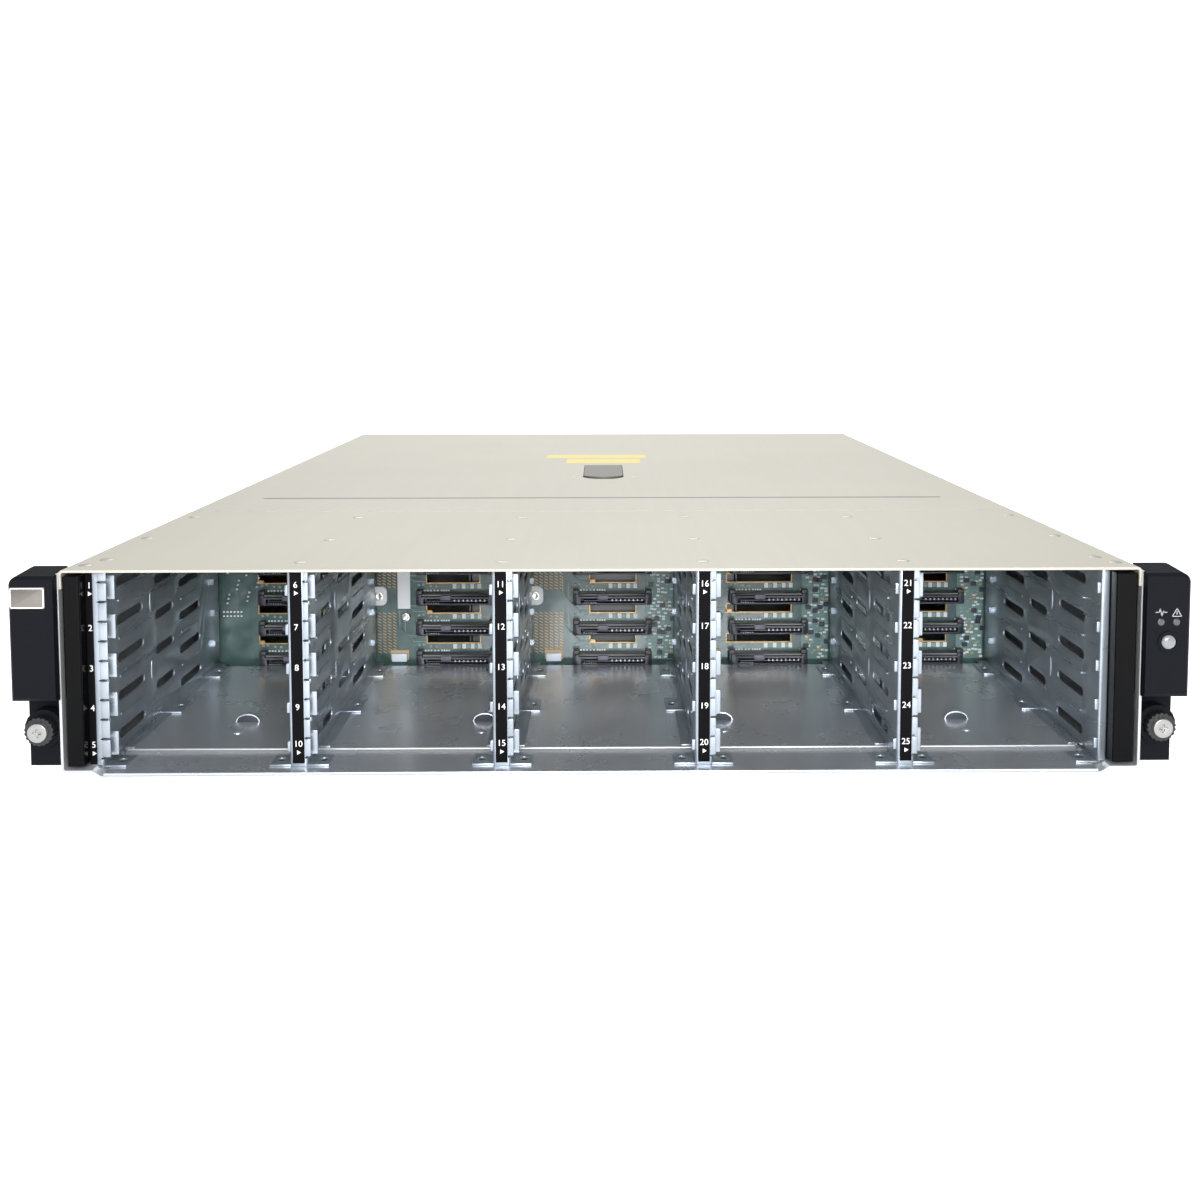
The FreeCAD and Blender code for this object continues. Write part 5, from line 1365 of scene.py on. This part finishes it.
# ------------------------------------------------------------------------------------ case and lids
@dataclass
class Case:
    """Base pan, the two lids, their rivets and latch, and the glossy side fillers."""

    # rivets: inset from the side and distance behind the front edge, for those by the sides
    rivet_radius: float = 2.7
    rivet_rise: float = 0.4
    rivet_rows: tuple[float, ...] = (14.5, 66.0, 128.0)
    edge_rivets: tuple[Span, ...] = ((8.0, 10.0), (12.0, 21.0), (9.5, 71.5), (10.5, 131.0))
    latch_rivet: Span = (19.0, 292.0)
    # painted shade and highlight lines and printed fields: limits behind the front edge, or before the back
    # of the front lid
    groove: Span = (193.8, 197.4)
    groove_half: float = 196.0
    seam: Span = (1.6, 0.4)
    stripe_fields: tuple[tuple[Span, Span], ...] = (((-43.0, 32.0), (397.0, 417.0)),
                                                    ((-27.0, 27.0), (364.0, 390.0)))
    print_rise: float = 0.06
    line_rise: float = 0.03

    def rivet(self) -> Piece:
        """Low domed rivet head standing on the lid at X and Y zero.

        Returns:
            The head, cut flat at the lid's top.
        """
        dome = ball("rivet", (0, 0, LID_TOP), (self.rivet_radius, self.rivet_radius, self.rivet_rise), 20)
        only(dome)
        bpy.ops.object.mode_set(mode="EDIT")
        bpy.ops.mesh.select_all(action="SELECT")
        bpy.ops.mesh.bisect(plane_co=(0, 0, LID_TOP * MM), plane_no=(0, 0, 1), clear_inner=True,
                            use_fill=True)
        bpy.ops.object.mode_set(mode="OBJECT")
        bpy.ops.object.shade_smooth_by_angle(angle=math.radians(50))
        return dome

    def rivets(self) -> None:
        """Rivets of the front lid and of the latch tray."""
        places = [(x, deep(row), 0.0) for x in DIVIDERS for row in self.rivet_rows]
        for inset, row in self.edge_rivets:
            places += [(side * (CASE.high.x - inset), deep(row), 0.0) for side in (-1, 1)]
        dress(repeat(self.rivet(), "top_rivets_fine", places), Finishes.RIVET, "top_rivets", True)
        pair = [(side * self.latch_rivet[0], deep(self.latch_rivet[1]), 0.0) for side in (-1, 1)]
        dress(repeat(self.rivet(), "latch_rivets_fine", pair), Finishes.RIVET, "latch_rivets", True)

    def stripes(self) -> None:
        """Two plain printed fields on the rear lid, where the real one carries its opening marks."""
        top = (LID_TOP, LID_TOP + self.print_rise)
        fields = [block("stripe", across, (deep(near), deep(far)), top)
                  for across, (near, far) in self.stripe_fields]
        dress(join("lid_stripes", fields), Finishes.STRIPE, "rear_cover")

    def lines(self) -> None:
        """Painted shade: a dark strip in the groove across the rear lid; painted highlight: a bright strip
        along the seam at the back of the front one.
        """
        # painted shade: a dark strip that stands for the shadow in the groove
        groove = block("groove_painted_shade", (-self.groove_half, self.groove_half),
                       (deep(self.groove[0]), deep(self.groove[1])),
                       (LID_TOP - 1.0, LID_TOP + self.line_rise))
        dress(groove, Finishes.LATCH, "rear_cover")
        back = Extent.of("front_top_cover").high.y
        # painted highlight: a bright strip along the seam at the back of the front lid
        seam = block("seam_painted_highlight", (CASE.low.x + 3.0, CASE.high.x - 3.0),
                     (back - self.seam[0], back - self.seam[1]), (LID_TOP - 0.5, LID_TOP + self.line_rise))
        dress(seam, Finishes.BRIGHT, "front_top_cover")

    def build(self) -> None:
        """Builds the case."""
        dress(refined("base_pan", 0.3, 30.0), Finishes.PAN, "base_pan", True)
        dress(refined("front_top_cover", 0.35, 30.0), Finishes.LID, "front_top_cover", True)
        dress(refined("rear_cover", 0.25, 30.0), Finishes.LID, "rear_cover", True)
        self.lines()
        # the latch's darker tone is painted shade
        dress(refined("cover_latch", 0.3), Finishes.LATCH, "cover_latch", True)
        for side in SIDES:
            dress(refined(f"side_filler_{side}", 0.4), Finishes.FILLER, f"side_filler_{side}", True)
        self.rivets()
        self.stripes()


# ------------------------------------------------------------------------------------ rack ears
@dataclass
class Ears:
    """Rack brackets with their caps, captive screws, button and lights."""

    knob_radius: float = 6.0
    head_radius: float = 4.0
    head_length: float = 1.7
    cross: Span = (1.7, 0.4)
    flutes: int = 18
    flute_radius: float = 0.6
    shank_radius: float = 2.3
    threads: int = 9
    thread_pitch: float = 0.8
    button_radius: float = 2.95
    button_rise: float = 1.3
    ring_radius: float = 4.1
    lens_radius: float = 1.5
    icon_height: float = 69.6
    badge_size: Span = (14.3, 8.9)
    badge_middle: float = 76.9

    def thumbscrew(self) -> tuple[Piece, Piece]:
        """Right captive screw.

        Returns:
            Its fluted knob, and the steel screw with a cross recess.
        """
        box = Extent.of("thumbscrew_right")
        x, z = box.centre.x, box.centre.z
        start, end = box.low.y, box.high.y
        knob_start = start + self.head_length
        knob_end = Extent.of("thumb_boss_right").low.y - 0.3
        middle = (knob_start + knob_end) / 2
        knob = drum("thumbscrew_right_knob", (x, middle, z), self.knob_radius, knob_end - knob_start,
                    Axis.Y, 72)
        cutters = []
        reach = self.knob_radius + 0.15
        for number in range(self.flutes):
            turn = 2 * math.pi * number / self.flutes
            place = (x + reach * math.cos(turn), middle, z + reach * math.sin(turn))
            cutters.append(drum("flute", place, self.flute_radius, 9.0, Axis.Y, 10))
        knob = soften(cut(knob, join("flutes", cutters)), 0.2, 2)
        head = drum("head", (x, start + 1.1, z), self.head_radius, 2.2, Axis.Y, 40)
        for wide, tall in (self.cross, self.cross[::-1]):
            head = cut(head, block("cross", (x - wide, x + wide), (start - 1, start + 0.6),
                                   (z - tall, z + tall)))
        head = soften(head, 0.35, 3)
        shank_start = end - 9
        shank = [drum("neck", (x, (knob_end + shank_start) / 2, z), 1.9, shank_start - knob_end, Axis.Y, 24)]
        shank.append(drum("shank", (x, end - 4.9, z), self.shank_radius, 8.2, Axis.Y, 28))
        shank.append(drum("tip", (x, end - 0.4, z), self.shank_radius, 0.8, Axis.Y, 28, 1.6))
        threads = []
        for number in range(self.threads):
            place = (x, end - 1.4 - self.thread_pitch * number, z)
            threads.append(hoop("thread", place, self.shank_radius, 0.2, Axis.Y, 28))
        return knob, join("thumbscrew_right_steel", [head] + shank + threads)

    def fastenings(self) -> None:
        """Captive screws, their rings and bosses on both sides."""
        knob, steel = self.thumbscrew()
        pairs = [(knob, Finishes.KNOB, True), (steel, Finishes.SCREW, False)]
        for piece, finish, stands_for in pairs:
            other = flipped(piece, piece.name.replace("right", "left"))
            dress(piece, finish, "thumbscrew_right", stands_for)
            dress(other, finish, "thumbscrew_left", stands_for)
        for side in SIDES:
            dress(refined(f"thumb_boss_{side}", 0.3, 30.0), Finishes.CAP, f"thumb_boss_{side}", True)
            dress(refined(f"thumb_ring_{side}", 0.1, 30.0), Finishes.BRIGHT, f"thumb_ring_{side}", True)
            dress(refined(f"ear_flange_{side}", 0.25, 30.0), Finishes.FLANGE, f"ear_flange_{side}", True)
            dress(refined(f"ear_bezel_{side}", 0.35, 30.0), Finishes.CAP, f"ear_bezel_{side}", True)

    def badge(self) -> None:
        """Bare brushed plate with a pale frame, in the recess of the left cap."""
        cap = Extent.of("ear_bezel_left")
        x, middle = cap.low.x + 0.65, self.badge_middle
        width, height = self.badge_size
        plate = block("badge_plate", (x, x + width), (cap.low.y + 0.1, cap.low.y + 0.5),
                      (middle - height / 2, middle + height / 2))
        dress(soften(round_edges(plate, 1, 0.6), 0.1, 2), Finishes.BADGE, "ear_bezel_left")
        skin = (cap.low.y + 0.02, cap.low.y + 0.12)
        frame_parts = []
        for low, high in ((0.25, 0.7), (width - 0.7, width - 0.25)):
            frame_parts.append(block("frame_side", (x + low, x + high), skin, (middle - 4.1, middle + 4.1)))
        for rail in (middle - 3.95, middle + 3.95):
            frame_parts.append(block("frame_rail", (x + 0.25, x + width - 0.25), skin,
                                     (rail - 0.2, rail + 0.2)))
        dress(join("badge_frame", frame_parts), Finishes.STRIP, "ear_bezel_left")

    def button(self) -> None:
        """Clear domed button in its ring."""
        box = Extent.of("locate_button")
        x, z = box.centre.x, box.centre.z
        radius, skirt = self.button_radius, box.low.y + self.button_rise
        dome = ball("dome", (x, skirt, z), (radius, self.button_rise, radius), 28)
        stem = drum("stem", (x, (skirt + box.high.y) / 2, z), radius, box.high.y - skirt, Axis.Y, 32)
        button = join("locate_button_fine", [dome, stem])
        dress(button, Finishes.BUTTON, "locate_button", True)
        only(button)
        bpy.ops.object.shade_smooth_by_angle(angle=math.radians(50))
        ring = hoop("button_ring", (x, Extent.of("ear_bezel_right").low.y + 0.3, z), self.ring_radius, 0.3,
                    Axis.Y)
        only(ring)
        bpy.ops.object.shade_smooth_by_angle(angle=math.radians(60))
        dress(ring, Finishes.COLLAR, "ear_bezel_right")

    def lights(self) -> None:
        """Status lenses with a pulse line and a warning triangle above them."""
        box = Extent.of("status_lenses")
        left, right = box.low.x + 1.5, box.high.x - 1.5
        front, height = box.low.y, box.centre.z
        lenses = [soften(drum("lens", (x, front + 2.0, height), self.lens_radius, 4.0, Axis.Y, 28), 0.3, 3)
                  for x in (left, right)]
        dress(join("status_lenses_fine", lenses), Finishes.LENS, "status_lenses", True)
        face = Extent.of("ear_bezel_left").low.y
        skin = (face - 0.05, face + 0.05)
        z = self.icon_height
        pulse = ((-2.3, 0.0), (-1.0, 0.0), (-0.5, 1.5), (0.2, -1.6), (0.8, 0.6), (1.1, 0.0), (2.3, 0.0))
        warning = ((-1.9, -1.4), (1.9, -1.4), (0.0, 1.9), (-1.9, -1.4))
        marks = stroke((left, z), skin, pulse) + stroke((right, z - 0.3), skin, warning)
        marks.append(block("bang", (right - 0.18, right + 0.18), skin, (z - 1.0, z + 0.4)))
        dress(join("ear_icons", marks), Finishes.ICON, "ear_bezel_right")

    def build(self) -> None:
        """Builds both ears."""
        self.fastenings()
        self.badge()
        self.button()
        self.lights()


# ------------------------------------------------------------------------------------ rear modules
@dataclass
class PowerSide:
    """Power supply of one side, with its grille, handle, inlet, pawl and lamps."""

    side: str
    hole: float = 1.55
    hole_pitch: float = 4.1
    rim: float = 2.4
    lamp_inset: float = 7.0
    lamp_heights: Span = (44.0, 50.0)

    def grille(self) -> Piece:
        """Round plate with a honeycomb of holes, over the exhaust.

        Returns:
            The plate.
        """
        handle = Extent.of(f"psu_handle_{self.side}")
        x, z = handle.centre.x, handle.centre.z
        radius = (handle.high.z - handle.low.z) / 2 - 0.3
        plate = drum(f"psu_grille_{self.side}", (x, REAR - 0.45, z), radius, 0.7, Axis.Y, 56)
        holes = []
        steps = int(radius / self.hole_pitch) + 1
        for row in range(-steps, steps + 1):
            for column in range(-steps, steps + 1):
                dx = (column + (row % 2) / 2) * self.hole_pitch
                dz = row * self.hole_pitch * math.sqrt(3) / 2
                if math.hypot(dx, dz) < radius - self.rim:
                    holes.append((dx, 0.0, dz))
        cutter = repeat(drum("hole", (x, REAR - 0.45, z), self.hole, 4.0, Axis.Y, 6), "holes", holes)
        return cut(plate, cutter)

    def build(self) -> None:
        """Builds the power supply of this side."""
        case, handle = f"psu_case_{self.side}", f"psu_handle_{self.side}"
        dress(refined(case, 0.35), Finishes.MODULE, case, True)
        dress(self.grille(), Finishes.MODULE, case)
        dress(refined(handle, 0.9, 30.0), Finishes.HANDLE, handle, True)
        dress(refined(f"psu_inlet_{self.side}", 0.25), Finishes.INLET, f"psu_inlet_{self.side}", True)
        dress(refined(f"psu_pawl_{self.side}", 0.25, 30.0), Finishes.PAWL, f"psu_pawl_{self.side}", True)
        box = Extent.of(case)
        x = box.low.x + self.lamp_inset
        lamps = [soften(drum("lamp", (x, REAR + 0.1, height), 1.4, 0.8, Axis.Y, 20), 0.2, 2)
                 for height in self.lamp_heights]
        dress(join(f"psu_lamps_{self.side}", lamps), Finishes.LIGHT, case)


@dataclass
class FanSide:
    """Fan module of one side, with its rotor, wire guard and pawl."""

    side: str
    rings: tuple[float, ...] = (35.0, 27.5, 20.0, 12.5)
    wire: float = 0.7
    spoke: Span = (12.0, 38.0)

    def guard(self) -> Piece:
        """Wire guard of four rings on four spokes, with a screw at each spoke's outer end.

        Returns:
            The guard with its screws.
        """
        box = Extent.of(f"fan_guard_{self.side}")
        x, y, z = box.centre.x, REAR + self.wire, box.centre.z
        start, end = self.spoke
        parts = [hoop("ring", (x, y, z), radius, self.wire, Axis.Y, 56) for radius in self.rings]
        for number in range(4):
            turn = math.pi / 4 + number * math.pi / 2
            spoke = drum("spoke", (x, y, z + (start + end) / 2), self.wire, end - start, Axis.Z, 10)
            spoke.data.transform(Matrix.Translation(Vector((x, y, z)) * MM)
                                 @ Matrix.Rotation(turn, 4, "Y")
                                 @ Matrix.Translation(Vector((-x, -y, -z)) * MM))
            parts.append(spoke)
            head = (x + end * math.sin(turn), REAR + 0.9, z + end * math.cos(turn))
            parts.append(drum("screw", head, 2.6, 1.0, Axis.Y, 18))
        return join(f"fan_guard_{self.side}_fine", parts)

    def build(self) -> None:
        """Builds the fan of this side."""
        case, rotor = f"fan_case_{self.side}", f"fan_rotor_{self.side}"
        dress(refined(case, 0.4, 30.0), Finishes.FAN, case, True)
        dress(refined(rotor, 0.3, 30.0), Finishes.FAN, rotor, True)
        guard = self.guard()
        only(guard)
        bpy.ops.object.shade_smooth_by_angle(angle=math.radians(45))
        dress(guard, Finishes.BRIGHT, f"fan_guard_{self.side}", True)
        dress(refined(f"fan_pawl_{self.side}", 0.25, 30.0), Finishes.PAWL, f"fan_pawl_{self.side}", True)


@dataclass
class CableModule:
    """Input and output module of one level, with its ports, lamps and ejector lever."""

    level: str
    vent_count: int = 8
    vent_start: float = 22.0
    vent_pitch: Span = (4.0, 3.4)
    lamp_start: float = -58.0
    lamp_pitch: float = 5.0

    def build(self) -> None:
        """Builds the module of this level."""
        module, ports, lever = f"io_module_{self.level}", f"io_ports_{self.level}", f"io_lever_{self.level}"
        low = Extent.of(module).low.z
        step_x, step_z = self.vent_pitch
        holes = []
        for column in range(self.vent_count):
            for row in range(2):
                place = (self.vent_start + column * step_x, REAR, low + 6.0 + row * step_z)
                holes.append(drum("vent", place, 1.2, 5.0, Axis.Y, 16))
        dress(cut(refined(module, 0.3), join("vents", holes)), Finishes.MODULE, module, True)
        dress(refined(ports, 0.15), Finishes.PORT, ports, True)
        dress(refined(lever, 0.4, 30.0), Finishes.HANDLE, lever, True)
        lamps = []
        for number in range(3):
            place = (self.lamp_start + number * self.lamp_pitch, REAR + 0.1, low + 10.0)
            lamps.append(soften(drum("lamp", place, 1.1, 0.6, Axis.Y, 18), 0.15, 2))
        dress(join(f"io_lamps_{self.level}", lamps), Finishes.LIGHT, module)


@dataclass
class RearFrame:
    """Partitions, power boards and bus bars between the rear modules."""

    def build(self) -> None:
        """Builds the fixed pieces of the rear."""
        for side in SIDES:
            for kind in ("outer", "inner"):
                node = f"partition_{kind}_{side}"
                dress(refined(node, 0.25), Finishes.MODULE, node, True)
        dress(refined("power_boards", 0.15), Finishes.BOARD, "power_boards", True)
        dress(refined("bus_bars", 0.3), Finishes.COPPER, "bus_bars", True)


# ------------------------------------------------------------------------------------ studio
@dataclass
class Studio:
    """White room, soft lights and the camera."""

    position: Point = (0.9, -761.3, 186.9)
    pitch: float = 3.693
    yaw: float = -0.574
    roll: float = 0.05
    lens: float = 34.5
    shift: Span = (-0.0133, -0.1666)

    def camera(self) -> None:
        """Sets the camera."""
        data = bpy.data.cameras.new("camera")
        data.lens = self.lens
        data.sensor_width = 36.0
        data.shift_x, data.shift_y = self.shift
        data.clip_start = 0.01
        eye = bpy.data.objects.new("camera", data)
        eye.location = [value * MM for value in self.position]
        eye.rotation_euler = (math.radians(90 - self.pitch), math.radians(self.roll), math.radians(self.yaw))
        bpy.context.scene.collection.objects.link(eye)
        bpy.context.scene.camera = eye

    def lamp(self, name: str, place: Point, target: Point, size: Span, power: float) -> None:
        """Adds a rectangular soft light.

        Args:
            name: Name of the light.
            place: Where it stands, in millimetres.
            target: What it faces.
            size: Its width and height.
            power: Power in watts.
        """
        data = bpy.data.lights.new(name, "AREA")
        data.shape = "RECTANGLE"
        data.size, data.size_y = size[0] * MM, size[1] * MM
        data.energy = power
        light = bpy.data.objects.new(name, data)
        light.location = [value * MM for value in place]
        aim = Vector(target) - Vector(place)
        light.rotation_euler = aim.to_track_quat("-Z", "Y").to_euler()
        bpy.context.scene.collection.objects.link(light)

    def world(self) -> None:
        """White behind everything, with a softer grey light from all round."""
        world = bpy.data.worlds.new("studio")
        world.use_nodes = True
        nodes, links = world.node_tree.nodes, world.node_tree.links
        nodes.clear()
        path = nodes.new("ShaderNodeLightPath")
        room, seen, mix = (nodes.new(kind) for kind in ("ShaderNodeBackground", "ShaderNodeBackground",
                                                        "ShaderNodeMixShader"))
        room.inputs["Color"].default_value = (0.93, 0.95, 1.0, 1.0)
        room.inputs["Strength"].default_value = 0.5
        seen.inputs["Color"].default_value = (1.0, 1.0, 1.0, 1.0)
        seen.inputs["Strength"].default_value = 1.05
        end = nodes.new("ShaderNodeOutputWorld")
        links.new(path.outputs["Is Camera Ray"], mix.inputs["Fac"])
        links.new(room.outputs["Background"], mix.inputs[1])
        links.new(seen.outputs["Background"], mix.inputs[2])
        links.new(mix.outputs["Shader"], end.inputs["Surface"])
        bpy.context.scene.world = world

    def floor(self) -> None:
        """Pale floor that the shelf stands on."""
        bpy.ops.object.select_all(action="DESELECT")
        bpy.ops.mesh.primitive_plane_add(size=12.0, location=(0, 2.0, -0.0002))
        floor = bpy.context.object
        floor.name = "studio_floor"
        pale = bpy.data.materials.new("studio_pale")
        pale.use_nodes = True
        shader = pale.node_tree.nodes["Principled BSDF"]
        shader.inputs["Base Color"].default_value = (0.92, 0.92, 0.92, 1.0)
        shader.inputs["Roughness"].default_value = 0.7
        shader.inputs["Emission Color"].default_value = (1.0, 1.0, 1.0, 1.0)
        shader.inputs["Emission Strength"].default_value = 0.6
        floor.data.materials.append(pale)

    def build(self) -> None:
        """Sets up the room."""
        self.world()
        self.floor()
        self.lamp("key", (80.0, -1450.0, 640.0), (0.0, FRONT, 40.0), (1100.0, 500.0), 12.5)
        self.lamp("front", (60.0, -1250.0, 330.0), (0.0, FRONT, 40.0), (500.0, 260.0), 6.0)
        self.lamp("top", (0.0, 1250.0, 1300.0), (0.0, 260.0, 80.0), (1600.0, 1200.0), 24.0)
        self.camera()
        scene = bpy.context.scene
        scene.view_settings.view_transform = "Standard"
        scene.view_settings.look = "None"


def main() -> None:
    """Builds the studio and every sub-assembly, and logs each one as it is built."""
    logging.basicConfig(level=logging.INFO, format="%(name)s: %(message)s")
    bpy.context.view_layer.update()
    assemblies = [Studio(), Case(), DriveCage(), Backplane(), Ears(), RearFrame()]
    assemblies += [kind(side) for side in SIDES for kind in (PowerSide, FanSide)]
    assemblies += [CableModule(level) for level in ("lower", "upper")]
    for assembly in assemblies:
        assembly.build()
        LOG.info("%s built", type(assembly).__name__)


if __name__ == "__main__":
    main()
